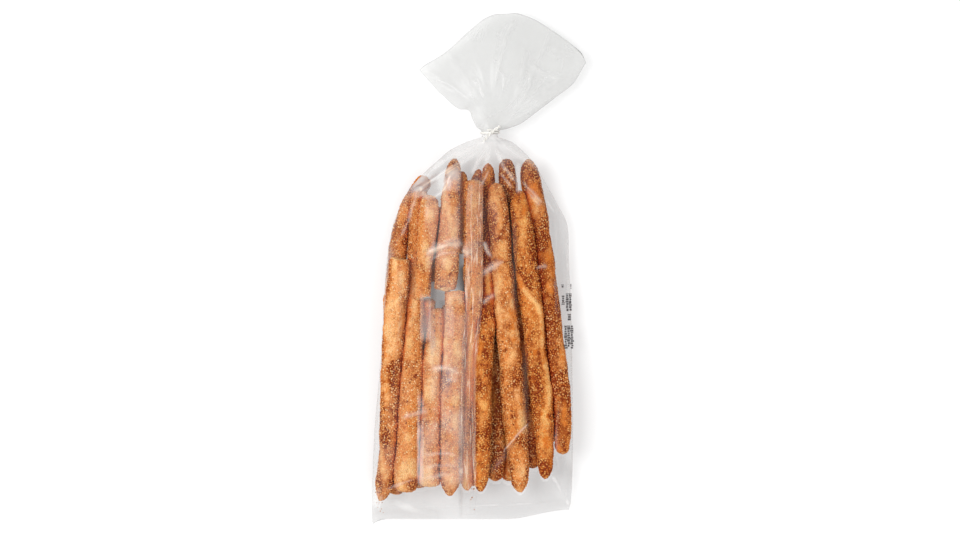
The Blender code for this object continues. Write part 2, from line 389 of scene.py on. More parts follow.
# Bare places where few seeds stuck: (x, y, half width, half length).
BARE_PATCHES = (
    (-35, 40, 4.5, 7), (-21, 40.6, 5, 6.5), (-4.2, 46, 3.8, 8), (13.3, 47, 3.8, 8.5), (15.4, 14, 5, 8.5),
    (25.9, 45.5, 3.6, 11), (-56.7, -7, 5, 10), (-57.4, -26, 4.6, 12), (-45.5, -21, 3.4, 20),
    (-17.5, -21, 6.5, 5.5), (-61.6, -47, 4.2, 12), (-65, -84, 3.4, 10), (-49, -52.5, 4.2, 18),
    (-50.4, -117.6, 4.4, 7.5), (-35, -84, 5, 12), (-35, -140, 4.6, 7), (-16.5, -57.4, 5, 9),
    (-16.8, -89, 4.4, 6), (-19, -138, 4, 13), (1.4, -99, 5.2, 9.5), (22.4, -61, 5, 8.5), (25.9, -85, 4.2, 9),
    (38.5, -50, 3, 12), (46.9, -80, 3.8, 10.5), (46.5, -107, 4, 6), (-23, 4, 4, 6), (29.5, 21, 3.6, 7),
    (5.5, -8, 3.4, 7), (28, -140, 4.2, 6), (49, -11.5, 3.6, 5), (-21, -150, 7, 9), (-36, -147, 6, 7),
    (13.4, 32, 3.6, 9), (-62.6, -30, 4.4, 16), (29.5, -104, 4, 7), (-34, -60, 4.4, 9), (-38, 10, 4, 12),
)
# Darker places with thick clusters of seeds, written the same way.
DARK_PATCHES = (
    (-60, -70, 4.6, 20), (-55.5, -28, 2.4, 5), (-64.5, -126, 4.4, 13), (-47.6, -110, 5, 4.4),
    (-50.4, -73, 4.4, 9), (-28, -33, 6, 5), (-21.7, -54.6, 3.4, 5), (-21.7, -78.4, 4.4, 5), (-21, -99.4, 4, 6),
    (-33.6, -122.5, 6.5, 4), (-30, -143, 3, 3.6), (43.5, 8, 3.2, 12), (60, -43, 3.2, 4.6), (38.4, 14, 3.4, 9),
    (5.5, -74, 3.5, 9), (16, 52, 4.4, 7), (45, 62, 4.5, 8), (30, -118, 4.4, 5), (3, -60, 3, 8),
    (-48, -149, 6, 7), (-63, -148, 4, 6), (58, -117, 5.5, 12), (19, -22, 4.6, 9), (19.5, -38, 4.6, 6),
    (46, -60, 3, 8), (-17, 72, 4, 4), (-31, 48, 4, 4),
)
# Small scorched spots: (x, y, radius).
SCORCHES = (
    (17.5, -56, 1.5), (37.8, -57.4, 1.7), (54.6, -43.4, 2.2), (22.4, -102, 1.4), (54.6, -83.3, 1.5),
    (47.6, -101.5, 1.8), (-20.6, -3.2, 1.3), (14.6, -88, 1.2), (42.5, -100.5, 1.3), (25.2, -117, 1.2),
    (-55.4, -63, 1.2), (-45, -74, 1.3),
)
# A pale rolled edge of dough along one stick, from its top down: (x, y).
RIDGE_STICK = "stick_right_ridge"
RIDGE_PATH = (
    (25.5, -3), (29, -10.5), (34, -17.5), (39.4, -24.5), (42.2, -32),
    (42.6, -44), (43.0, -55), (46, -68), (49, -82), (47.5, -94),
)
# How strongly it shows, from the stick's bottom up.
RIDGE_STRENGTH = (0.6, 0.6, 0.9, 0.9, 0.85, 0.9, 1.0, 1.0, 0.7, 0.5, 0.5)
RIDGE_HEIGHT = 0.9 * MM

# How finely a stick is built, and its plain section: flatter than wide, and a little square.
STICK_STEP = 1.5 * MM
STICK_SIDES = 40
CAP_RINGS = 9
STICK_FLATNESS = 0.93
STICK_SQUARENESS = 2.35
# Each stick's own random draw: the first one's, and the step to the next.
FIRST_STICK_DRAW = 100
STICK_DRAW_STEP = 7
# How long an end is, for a stick of half width 1.
END_LENGTHS = {"round": 1.05, "point": 2.15, "broken": 0.12, "blunt": 0.45}
# Above 1, an end runs out in a cone.
END_SHARPNESS = {"round": 1.0, "point": 1.2, "broken": 1.0, "blunt": 1.0}
# How far the closing point of an end stands out, as a share of its last ring's radius.
POLE_SHARE = 0.15
# How uneven the crust is: lumps as shares of the radius, the rest as heights.
LUMPS = 0.125
SMALL_LUMPS = 0.06
ROUGHNESS = 0.22 * MM
FINE_ROUGHNESS = 0.14 * MM
RAGGEDNESS = 0.9 * MM
FINE_JAGS = 1.1 * MM
JAGS = 1.6 * MM
# How golden a stick is where its table doesn't say, and how much browner or paler the crust gets in places.
USUAL_GOLDEN = 0.3
# The flanks darken partly from browning and partly as painted shade where they turn from the light; the crown is
# paler as painted light.
FLANK_BROWNING = 0.40
CROWN_PALENESS = 0.12
CLUSTER_BROWNING = 0.33
BARE_PALENESS = 0.16
SCORCH_BROWNING = 1.3
# How the sticks settle between the film's underside and its top, in slices across the bag.
FILM_TOP = 32.2 * MM
UNDERSIDE_GAP = 1.7 * MM
SLICE_STEP = 3.0 * MM
SLICE_RANGE = (-0.160, 0.081)
SETTLE_ROUNDS = 140
SETTLE_BACK_UP = 0.04
SETTLE_BACK_SIDEWAYS = 0.03
SETTLE_SMOOTHING = 0.35
STICK_GAP = 0.1 * MM
# How freely a stick is pushed sideways, by the start of its name.
FREE_SIDEWAYS = {"back": 0.5, "stick": 0.06}


def stick_path(spec):
    """The stick's stations as rows of (x, y, z, width) in metres, closely and evenly spaced."""
    rows = np.array(spec["path"], float) * MM
    stations = np.stack([rows[:, 1], rows[:, 0], rows[:, 3], rows[:, 2]], axis=1)
    steps = np.linalg.norm(np.diff(stations[:, :3], axis=0), axis=1)
    at = np.concatenate([[0.0], np.cumsum(steps)])
    fine = np.linspace(0.0, at[-1], max(12, int(at[-1] / SLICE_STEP)))
    slopes = np.gradient(stations, at, axis=0)
    i = np.clip(np.searchsorted(at, fine, side="right") - 1, 0, len(at) - 2)
    span = (at[i + 1] - at[i])[:, None]
    t = ((fine - at[i])[:, None]) / span
    start, end = stations[i], stations[i + 1]
    rise, fall = slopes[i] * span, slopes[i + 1] * span
    t2, t3 = t * t, t * t * t
    return (2 * t3 - 3 * t2 + 1) * start + (t3 - 2 * t2 + t) * rise + (3 * t2 - 2 * t3) * end + (t3 - t2) * fall


def settle(paths):
    """Lifts and shifts the sticks, slice by slice along the bag, until they rest on and beside each other."""
    names = list(paths)
    slices = np.arange(*SLICE_RANGE, SLICE_STEP)
    x, z, r, there = (np.zeros((len(names), len(slices))) for _ in range(4))
    for k, name in enumerate(names):
        rows = paths[name][np.argsort(paths[name][:, 1])]
        x[k], z[k], r[k] = (np.interp(slices, rows[:, 1], rows[:, c]) for c in (0, 2, 3))
        there[k] = (slices >= rows[0, 1]) & (slices <= rows[-1, 1])
    r *= 0.5
    wanted_x, wanted_z = x.copy(), z.copy()
    free_x = np.array([FREE_SIDEWAYS[name.split("_")[0]] for name in names])
    for _ in range(SETTLE_ROUNDS):
        for i in range(len(names)):
            for j in range(i + 1, len(names)):
                dx, dz = x[j] - x[i], z[j] - z[i]
                apart = np.sqrt(dx * dx + dz * dz) + 1e-9
                push = np.maximum(r[i] + r[j] + STICK_GAP - apart, 0.0) * there[i] * there[j] * 0.5
                x[i] -= push * dx / apart * free_x[i]
                x[j] += push * dx / apart * free_x[j]
                z[i] -= push * dz / apart
                z[j] += push * dz / apart
        z += SETTLE_BACK_UP * (wanted_z - z)
        x += SETTLE_BACK_SIDEWAYS * (wanted_x - x)
        for grid in (z, x, z, x):
            grid[:, 1:-1] += SETTLE_SMOOTHING * ((grid[:, :-2] + grid[:, 2:]) / 2 - grid[:, 1:-1])
        z = np.clip(z, r * STICK_FLATNESS + UNDERSIDE_GAP, FILM_TOP - r * STICK_FLATNESS)
    for k, name in enumerate(names):
        rows = paths[name]
        rows[:, 0] += np.interp(rows[:, 1], slices, x[k] - wanted_x[k])
        rows[:, 2] += np.interp(rows[:, 1], slices, z[k] - wanted_z[k])
    return paths


def in_patches(points, patches):
    """How far inside the nearest patch each point is, from 0 to 1, with uneven edges."""
    inside = np.zeros(len(points))
    uneven = 0.55 * ripple(points, (4 * MM, 7 * MM, 4 * MM), 71) + 0.35 * ripple(points, 2.2 * MM, 73)
    for cx, cy, half_width, half_length in patches:
        far = ((points[:, 0] / MM - cx) / half_width) ** 2 + ((points[:, 1] / MM - cy) / half_length / 1.25) ** 2
        inside = np.maximum(inside, smoothstep(1.3, -0.7, far + uneven))
    return inside, uneven


def bareness(points, up):
    """1 where the dough is bare and 0 where it is thick with seeds."""
    inside, uneven = in_patches(points, BARE_PATCHES)
    streaks = ripple(points, (7 * MM, 22 * MM, 7 * MM), 72) + 0.6 * uneven
    bare = np.maximum(0.9 * inside * smoothstep(0.1, 0.5, up), smoothstep(-0.1, 0.9, streaks) * 0.75)
    clustered, _ = in_patches(points, DARK_PATCHES)
    return bare * (1.0 - 0.85 * clustered)


def stick_rings(path, ends):
    """The distances along a stick of its path's points and of its rings, and each ring's share of the width."""
    steps = np.linalg.norm(np.diff(path[:, :3], axis=0), axis=1)
    at = np.concatenate([[0.0], np.cumsum(steps)])
    length = at[-1]
    angles = (np.arange(CAP_RINGS) + 0.6) / CAP_RINGS * (math.pi / 2)
    first = END_LENGTHS[ends[0]] * path[0, 3] / 2
    last = END_LENGTHS[ends[1]] * path[-1, 3] / 2
    body = np.linspace(first, length - last, int(length / STICK_STEP))
    inward = 1 - np.cos(angles)
    where = np.concatenate([first * inward, body[1:-1], (length - last * inward)[::-1]])
    first_wide, last_wide = (np.sin(angles) ** END_SHARPNESS[end] for end in ends)
    wide = np.concatenate([first_wide, np.ones(len(body) - 2), last_wide[::-1]])
    return at, where, wide


def round_stick(path, ends):
    """A stick before its lumps: for each ring its middle, the way along, its share of the full width and its
    radius, then for each point its place and its outward way."""
    at, where, wide = stick_rings(path, ends)
    centre = np.stack([np.interp(where, at, path[:, c]) for c in range(3)], axis=1)
    radius = np.interp(where, at, path[:, 3]) / 2 * wide
    along, side, upward = ways(centre)
    turn = np.arange(STICK_SIDES) / STICK_SIDES * 2 * math.pi
    across, rise = (np.sign(c) * np.abs(c) ** (2 / STICK_SQUARENESS) for c in (np.cos(turn), np.sin(turn)))
    out = side[:, None, :] * across[None, :, None] + upward[:, None, :] * rise[None, :, None] * STICK_FLATNESS
    base = (centre[:, None, :] + out * radius[:, None, None]).reshape(-1, 3)
    return centre, along, wide, radius, base, out.reshape(-1, 3)


def ridge_at(base, up):
    """How strongly the rolled edge of dough stands out at each point of its stick."""
    near, _ = near_path(base[:, :2] / MM, np.array(RIDGE_PATH))
    near = near + 1.3 * layered(base, 7 * MM, 77, 3)
    strong = through(RIDGE_STRENGTH, (base[:, 1] - base[:, 1].min()) / np.ptp(base[:, 1]))
    return strong * smoothstep(3.3, 0.3, near) * smoothstep(0.0, 0.4, up)


def end_roughness(k, end, tip, rings, seed):
    """How the points near a stick's end k move: jagged where it is broken, and a little ragged where whole."""
    centre, along, wide, base, out = rings
    outward = along[-k] * (1 if k else -1)
    if end == "broken":
        near_end = smoothstep(7.5 * MM, 5 * MM, np.abs((base - tip) @ along[-k]) * 1.6)
        jag = FINE_JAGS * layered(base * (1, 0.2, 1), 3.2 * MM, seed + 30, 2)
        jag = jag + JAGS * ripple(base * (1, 0.1, 1), 7 * MM, seed + 31)
        return outward * (jag * near_end)[:, None]
    from_tip = np.abs((base - centre[-k]) @ along[-k])
    ragged = RAGGEDNESS * layered(base, 4.4 * MM, seed + 34, 3) * smoothstep(10 * MM, 3 * MM, from_tip)
    return (0.1 * outward + out) * (ragged * smoothstep(0.35, 1.0, wide))[:, None]


def browning_at(base, up, tone, on_ridge, seed):
    """How brown the crust is at each point: patchy, darker in clusters and scorched spots, and on the flanks
    partly browning and partly painted shade, with painted light on the crown.
    """
    tone = tone + 0.25 * ripple(base, 38 * MM, seed + 20)
    tone += 0.62 * layered(base, (7.5 * MM, 15 * MM, 7.5 * MM), seed + 21, 3)
    # Painted shade on the flanks, partly real browning, and painted light on the crown.
    tone += FLANK_BROWNING * smoothstep(0.95, 0.1, up) - CROWN_PALENESS
    for x, y, size in SCORCHES:
        away = np.hypot(base[:, 0] - x * MM, base[:, 1] - y * MM)
        tone += SCORCH_BROWNING * smoothstep(1.3 * size * MM, 0.4 * size * MM, away)
    dark, pale = (in_patches(base, patches)[0] for patches in (DARK_PATCHES, BARE_PATCHES))
    tone += CLUSTER_BROWNING * dark - BARE_PALENESS * pale
    return tone - 0.3 * on_ridge


def stick_faces(rows):
    """Faces of a stick's rings, closed by a point at its top end and then one at its bottom end."""
    faces = grid_faces(rows, STICK_SIDES, True)[:, ::-1].tolist()
    top, last_row = rows * STICK_SIDES, (rows - 1) * STICK_SIDES
    for j in range(STICK_SIDES):
        k = (j + 1) % STICK_SIDES
        faces += [(j, k, top), (last_row + k, last_row + j, top + 1)]
    return faces


def make_stick(name, spec, path, seed):
    centre, along, wide, radius, base, out = round_stick(path, spec["ends"])
    up = out[:, 2]
    ring_wide = np.repeat(wide, STICK_SIDES)
    lumps = LUMPS * layered(base, 15 * MM, seed, 2) + SMALL_LUMPS * ripple(base, 6 * MM, seed + 5)
    rough = ROUGHNESS * ripple(base, 2.6 * MM, seed + 9) + FINE_ROUGHNESS * ripple(base, 1.3 * MM, seed + 10)
    bare = bareness(base, up)
    on_ridge = ridge_at(base, up) if name == RIDGE_STICK else np.zeros(len(base))
    lift = np.repeat(radius, STICK_SIDES) * lumps + rough * (1.0 - 0.7 * bare) + RIDGE_HEIGHT * on_ridge
    bare = np.maximum(bare, 0.8 * on_ridge)
    points = base + out * lift[:, None]
    torn = np.zeros(len(points))
    for k, end in enumerate(spec["ends"]):
        tip = path[-k, :3]
        points += end_roughness(k, end, tip, (centre, along, ring_wide, base, out), seed)
        if end == "broken":
            close = smoothstep(12 * MM, 9 * MM, np.linalg.norm(base - tip, axis=1))
            torn = np.maximum(torn, smoothstep(0.995, 0.9, ring_wide) * close)
            bare = np.maximum(bare, smoothstep(0.999, 0.96, ring_wide) * close)
    poles = [centre[-k] + along[-k] * (1 if k else -1) * radius[-k] * POLE_SHARE for k in (0, 1)]
    piece = new_mesh(name, np.concatenate([points, poles]), stick_faces(len(wide)))
    piece.data.shade_smooth()
    golden = np.clip(spec.get("golden", USUAL_GOLDEN) + 0.5 * layered(base, 30 * MM, seed + 23, 2), 0.0, 1.0)
    torn_poles = [1.0 * (end == "broken") for end in spec["ends"]]
    add_attributes(
        piece,
        bare=np.append(bare, torn_poles),
        broken=np.append(torn, torn_poles),
        tone=np.append(browning_at(base, up, spec["tone"], on_ridge, seed), [spec["tone"]] * 2),
        golden=np.append(golden * (1.0 - 0.35 * on_ridge), [USUAL_GOLDEN] * 2),
    )
    return piece


def mark_covered(pieces, paths):
    """Finds where each stick faces another one closely: painted shade darkens it there, and it is bare where they
    touch.
    """
    for name, piece in pieces.items():
        count = len(piece.data.vertices)
        points = np.zeros(count * 3)
        piece.data.vertices.foreach_get("co", points)
        points = points.reshape(-1, 3)
        inside = np.zeros(count)
        close = np.zeros(count)
        for other, path in paths.items():
            if other == name:
                continue
            rows = path[np.argsort(path[:, 1])]
            y = points[:, 1]
            x, z, width = (np.interp(y, rows[:, 1], rows[:, c]) for c in (0, 2, 3))
            away = np.hypot(points[:, 0] - x, (points[:, 2] - z) / STICK_FLATNESS) - width / 2
            beside = (y > rows[0, 1]) & (y < rows[-1, 1])
            inside = np.maximum(inside, smoothstep(1.1 * MM, 0.5 * MM, away) * beside)
            # How near another stick is: where the painted crevice shade goes.
            close = np.maximum(close, smoothstep(3.6 * MM, 0.4 * MM, away) * beside)
        add_attributes(piece, covered=inside, deep=close)


# ---------------------------------------------------------------- nodes


class Nodes:
    """A node tree, with short ways to add and join its nodes."""

    def __init__(self, tree):
        self.tree = tree

    def put(self, socket, value):
        if isinstance(value, bpy.types.NodeSocket):
            self.tree.links.new(value, socket)
        elif socket.type == "RGBA":
            socket.default_value = (*value, 1.0)
        else:
            socket.default_value = value

    def add(self, kind, values=(), **settings):
        node = self.tree.nodes.new(kind)
        for key, value in settings.items():
            setattr(node, key, value)
        for key, value in dict(values).items():
            self.put(node.inputs[key], value)
        return node

    def attribute(self, name):
        return self.add("ShaderNodeAttribute", attribute_name=name).outputs["Fac"]

    def noise(self, scale, detail=3.0, rough=0.5, squeeze=(1.0, 1.0, 1.0)):
        """Noise in the object's own place, as many times finer along each axis as squeeze says."""
        place = self.add("ShaderNodeTexCoord").outputs["Object"]
        if squeeze != (1.0, 1.0, 1.0):
            place = self.add("ShaderNodeMapping", {"Vector": place, "Scale": squeeze}).outputs["Vector"]
        values = {"Vector": place, "Scale": scale, "Detail": detail, "Roughness": rough}
        return self.add("ShaderNodeTexNoise", values).outputs["Fac"]

    def math(self, operation, a, b=0.0, clamp=False):
        return self.add("ShaderNodeMath", {0: a, 1: b}, operation=operation, use_clamp=clamp).outputs[0]

    def plus(self, a, b, clamp=False):
        return self.math("ADD", a, b, clamp)

    def times(self, a, b, clamp=False):
        return self.math("MULTIPLY", a, b, clamp)

    def spread(self, value, low, high, to_low=0.0, to_high=1.0):
        values = {"Value": value, "From Min": low, "From Max": high, "To Min": to_low, "To Max": to_high}
        return self.add("ShaderNodeMapRange", values, interpolation_type="SMOOTHSTEP").outputs["Result"]

    def blend(self, share, a, b, kind="MIX"):
        values = {"Factor": share, 6: a, 7: b}
        return self.add("ShaderNodeMix", values, data_type="RGBA", blend_type=kind).outputs[2]

    def tinted(self, share, base, tint):
        return self.blend(share, base, self.blend(1.0, base, tint, "MULTIPLY"))

    def effect(self, group, values=()):
        """Places a node group with its own values, and gives back its outputs."""
        return self.add("ShaderNodeGroup", values, node_tree=group).outputs


class Finish(Nodes):
    """A material."""

    def __init__(self, name):
        self.material = bpy.data.materials.new(name)
        self.material.use_nodes = True
        super().__init__(self.material.node_tree)

    def bump(self, height, strength, distance):
        values = {"Height": height, "Strength": strength, "Distance": distance}
        return self.add("ShaderNodeBump", values).outputs["Normal"]

    def done(self, values):
        """Gives the shader its values, and gives back the material."""
        for label, value in values.items():
            self.put(self.tree.nodes["Principled BSDF"].inputs[label], value)
        return self.material


class Group(Nodes):
    """A node group with named inputs and outputs, each written as its label and its kind of socket."""

    def __init__(self, name, kind, inputs, outputs):
        super().__init__(bpy.data.node_groups.new(name, kind))
        for way, sockets in (("INPUT", inputs), ("OUTPUT", outputs)):
            for label, socket in sockets.items():
                self.tree.interface.new_socket(label, in_out=way, socket_type="NodeSocket" + socket)
        self.given = self.add("NodeGroupInput").outputs
        self.results = self.add("NodeGroupOutput").inputs

    def done(self, results):
        """Joins the results to the outputs, and gives back the tree."""
        for label, value in results.items():
            self.put(self.results[label], value)
        return self.tree


def colour(red, green, blue):
    """A colour as seen on a screen, from 0 to 255, as the shader's own linear values."""
    return tuple(((c / 255 + 0.055) / 1.055) ** 2.4 if c > 10 else c / 255 / 12.92 for c in (red, green, blue))


# ---------------------------------------------------------------- bread and seeds

DOUGH_PALE = colour(239, 195, 141)
DOUGH_GOLD = colour(218, 134, 60)
COAT_LIGHT = colour(222, 147, 84)
COAT_DARK = colour(128, 50, 10)
GOLDEN = (0.94, 0.81, 0.52)
# The reddish painted shade in the crevices between the sticks.
DEEP = (0.96, 0.44, 0.18)
# The painted shade in the crust's fine pits.
PITTED = (0.66, 0.42, 0.24)
# How fine the crust's noises are, from the browner patches to the pits.
PATCHES = 60.0
BLOTCHES = 190.0
TOASTED_SPOTS = 260.0
GRAIN = 650.0
PITS = 1500.0
CRUMB_PALE = colour(248, 212, 152)

# Each kind of seed: its share of all of them, as from and to, and its colour.
SEED_KINDS = {
    "seeds_cream": (0.00, 0.11, colour(243, 199, 150)),
    "seeds_straw": (0.11, 0.38, colour(234, 177, 118)),
    "seeds_gold": (0.38, 0.73, colour(226, 152, 84)),
    "seeds_amber": (0.73, 0.985, colour(206, 120, 52)),
    "seeds_brown": (0.985, 1.01, colour(146, 76, 30)),
}
SEED_TOASTING = (0.56, 0.36, 0.18)
SEED_LENGTH = 1.95 * MM
SEED_WIDTH = 1.5 * MM
SEED_THICKNESS = 0.9 * MM
SEED_SPACING = 1.15 * MM
SEED_DENSITY = 1.1e6
SEED_SIDES = 7
SEED_DRAW = 11
SEED_LEAN = 0.4
SEED_SIZES = (0.78, 1.18)


def browning_effect():
    """A fine grain, and the dough's and the coat's colours: patchy, and browner where Tone is high. Tone holds
    real browning and the painted flank shade and crown light.
    """
    outputs = {"Grain": "Float", "Dough": "Color", "Coat": "Color"}
    g = Group("browning", "ShaderNodeTree", {"Tone": "Float"}, outputs)
    grain = g.noise(GRAIN)
    uneven = g.plus(g.times(g.noise(PATCHES), 0.6), g.times(g.noise(BLOTCHES), 1.5))
    browned = g.plus(g.plus(uneven, g.times(grain, 0.9)), g.times(g.given["Tone"], 1.05))
    return g.done({
        "Grain": grain,
        "Dough": g.blend(g.spread(browned, 1.0, 1.85), DOUGH_PALE, DOUGH_GOLD),
        "Coat": g.blend(g.spread(browned, 1.12, 1.85), COAT_LIGHT, COAT_DARK),
    })


def warmth_effect():
    """The colour made more golden, and darkened with painted shade deep between the sticks."""
    inputs = {"Color": "Color", "Golden": "Float", "Deep": "Float"}
    g = Group("warmth", "ShaderNodeTree", inputs, {"Color": "Color"})
    warm = g.tinted(g.given["Golden"], g.given["Color"], GOLDEN)
    return g.done({"Color": g.tinted(g.times(g.given["Deep"], 0.85), warm, DEEP)})


def warmed(s, warmth, base):
    """The base colour through the effect of warmth and painted crevice shade, driven by the piece's own values."""
    values = {"Color": base, "Golden": s.attribute("golden"), "Deep": s.attribute("deep")}
    return s.effect(warmth, values)["Color"]


def crust_finish(browning, warmth):
    s = Finish("crust")
    # Tone holds real browning and the painted flank shade and crown light.
    brown = s.effect(browning, {"Tone": s.attribute("tone")})
    grain = brown["Grain"]
    pits = s.noise(PITS, 2.0)
    shell = s.blend(s.spread(s.attribute("bare"), 0.10, 0.80), brown["Coat"], brown["Dough"])
    # Painted shade in the fine pits of the crust.
    pitted = s.tinted(s.spread(pits, 0.40, 0.68, 0.0, 0.75), shell, PITTED)
    inner = s.blend(s.spread(grain, 0.4, 0.65), CRUMB_PALE, DOUGH_GOLD)
    return s.done({
        "Base Color": s.blend(s.attribute("broken"), warmed(s, warmth, pitted), inner),
        "Roughness": s.spread(grain, 0.3, 0.7, 0.6, 0.85),
        "Specular IOR Level": 0.12,
        "Subsurface Weight": 0.12,
        "Subsurface Radius": (1.0, 0.4, 0.12),
        "Subsurface Scale": 3.0 * MM,
        "Normal": s.bump(s.plus(grain, s.times(pits, 0.6)), 0.7, 0.6 * MM),
    })


def seed_finish(name, base, browning, warmth):
    s = Finish(name)
    tone = s.attribute("tone")
    brown = s.effect(browning, {"Tone": tone})
    darker = tuple(c * share for c, share in zip(base, SEED_TOASTING))
    # Toasting, plus the painted flank shade and crown light that tone carries.
    toasted = s.plus(s.noise(TOASTED_SPOTS), s.times(tone, 0.42))
    shell = s.blend(s.spread(toasted, 0.38, 0.98), base, darker)
    sunk = s.blend(s.spread(s.attribute("bare"), 0.10, 0.70, 0.0, 0.9), shell, brown["Dough"])
    return s.done({
        "Base Color": warmed(s, warmth, sunk),
        "Roughness": s.spread(brown["Grain"], 0.3, 0.7, 0.5, 0.7),
        "Specular IOR Level": 0.2,
    })


def seed_scatter_tree():
    """Seeds of one kind, scattered over a stick's coated places and turned every way."""
    floats = ("Spacing", "Density", "Length", "Width", "Thickness", "Share From", "Share To")
    inputs = {"Geometry": "Geometry"} | {label: "Float" for label in floats}
    inputs |= {"Random Seed": "Int", "Finish": "Material"}
    g = Group("seed_scatter", "GeometryNodeTree", inputs, {"Geometry": "Geometry"})
    given = g.given

    def read(name):
        return g.add("GeometryNodeInputNamedAttribute", {"Name": name}, data_type="FLOAT").outputs[0]

    def compared(operation, a, b):
        return g.add("FunctionNodeCompare", {0: a, 1: b}, data_type="FLOAT", operation=operation).outputs[0]

    coated = g.math("SUBTRACT", 1.0, g.times(read("bare"), 0.9))
    points = g.add("GeometryNodeDistributePointsOnFaces", {
        "Mesh": given["Geometry"], "Distance Min": given["Spacing"], "Density Max": given["Density"],
        "Density Factor": g.times(coated, g.math("SUBTRACT", 1.0, read("covered"))), "Seed": given["Random Seed"],
    }, distribute_method="POISSON")
    pick = g.add("FunctionNodeRandomValue", {"Seed": 3}, data_type="FLOAT").outputs[1]
    below = compared("LESS_THAN", pick, given["Share From"])
    above = compared("GREATER_EQUAL", pick, given["Share To"])
    others = g.add("FunctionNodeBooleanMath", {0: below, 1: above}, operation="OR").outputs[0]
    selected = {"Geometry": points.outputs["Points"], "Selection": others}
    kept = g.add("GeometryNodeDeleteGeometry", selected, domain="POINT").outputs[0]
    ball = g.add("GeometryNodeMeshUVSphere", {"Radius": 0.5, "Segments": SEED_SIDES, "Rings": 2}).outputs[0]
    x, y, z = g.add("ShaderNodeSeparateXYZ", {0: g.add("GeometryNodeInputPosition").outputs[0]}).outputs
    pinch = g.math("SUBTRACT", 0.85, g.times(x, 0.7))
    shape = g.add("ShaderNodeCombineXYZ", {
        0: g.times(x, given["Length"]),
        1: g.times(g.times(y, pinch), given["Width"]),
        2: g.times(g.times(z, pinch), given["Thickness"]),
    }).outputs[0]
    seed = g.add("GeometryNodeSetPosition", {"Geometry": ball, "Position": shape}).outputs[0]
    smooth = g.add("GeometryNodeSetShadeSmooth", {"Geometry": seed}).outputs[0]
    leaning = {0: (-SEED_LEAN, -SEED_LEAN, 0.0), 1: (SEED_LEAN, SEED_LEAN, 2 * math.pi), "Seed": 5}
    lean = g.add("FunctionNodeRandomValue", leaning, data_type="FLOAT_VECTOR").outputs[0]
    turning = {0: points.outputs["Rotation"], 1: lean}
    turned = g.add("FunctionNodeRotateRotation", turning, rotation_space="LOCAL").outputs[0]
    sizes = {2: SEED_SIZES[0], 3: SEED_SIZES[1], "Seed": 7}
    size = g.add("FunctionNodeRandomValue", sizes, data_type="FLOAT").outputs[1]
    placing = {"Points": kept, "Instance": smooth, "Rotation": turned, "Scale": size}
    placed = g.add("GeometryNodeInstanceOnPoints", placing).outputs[0]
    real = g.add("GeometryNodeRealizeInstances", {"Geometry": placed}).outputs[0]
    finished = g.add("GeometryNodeSetMaterial", {"Geometry": real, "Material": given["Finish"]}).outputs[0]
    return g.done({"Geometry": finished})


def joined_copy(name, pieces):
    """One mesh object with copies of the pieces' meshes in it."""
    copies = []
    for piece in pieces:
        copy = bpy.data.objects.new(name, piece.data.copy())
        bpy.context.scene.collection.objects.link(copy)
        copies.append(copy)
    with bpy.context.temp_override(active_object=copies[0], selected_editable_objects=copies):
        bpy.ops.object.join()
    return copies[0]


def baked(name, source, finish):
    """The source's evaluated shape as a plain mesh object of its own, in one finish."""
    bpy.context.view_layer.update()
    graph = bpy.context.evaluated_depsgraph_get()
    data = bpy.data.meshes.new_from_object(source.evaluated_get(graph))
    data.name = name
    data.materials.clear()
    data.materials.append(finish)
    data.polygons.foreach_set("material_index", np.zeros(len(data.polygons), np.int32))
    piece = bpy.data.objects.new(name, data)
    bpy.context.scene.collection.objects.link(piece)
    return piece


def scattered(name, ground, tree, finish, values):
    """Bits of one kind and finish that lie scattered over the ground, as a piece of their own."""
    modifier = ground.modifiers.new("scatter", "NODES")
    modifier.node_group = tree
    sockets = {item.name: item.identifier for item in tree.interface.items_tree if item.in_out == "INPUT"}
    for label, value in (values | {"Finish": finish}).items():
        modifier[sockets[label]] = value
    piece = baked(name, ground, finish)
    ground.modifiers.remove(modifier)
    return piece


def make_seeds(sticks, tree, browning, warmth):
    ground = joined_copy("seed_ground", sticks)
    made = []
    for name, (start, end, base) in SEED_KINDS.items():
        made.append(scattered(name, ground, tree, seed_finish(name, base, browning, warmth), {
            "Spacing": SEED_SPACING, "Density": SEED_DENSITY, "Length": SEED_LENGTH, "Width": SEED_WIDTH,
            "Thickness": SEED_THICKNESS, "Share From": start, "Share To": end, "Random Seed": SEED_DRAW,
        }))
    bpy.data.objects.remove(ground, do_unlink=True)
    return made


# ---------------------------------------------------------------- film

NECK_X = 7.0 * MM
NECK_Y = 96.6 * MM
NECK_Z = 14.0 * MM
NECK_RADIUS = 5.9 * MM
NECK_STRAIGHT = 1.7 * MM
# The last rings of the body's film, at the neck: (y, share of the neck's radius).
NECK_RINGS = ((NECK_Y - 3.2 * MM, 1.0), (NECK_Y - NECK_STRAIGHT, 0.94), (NECK_Y, 0.9))

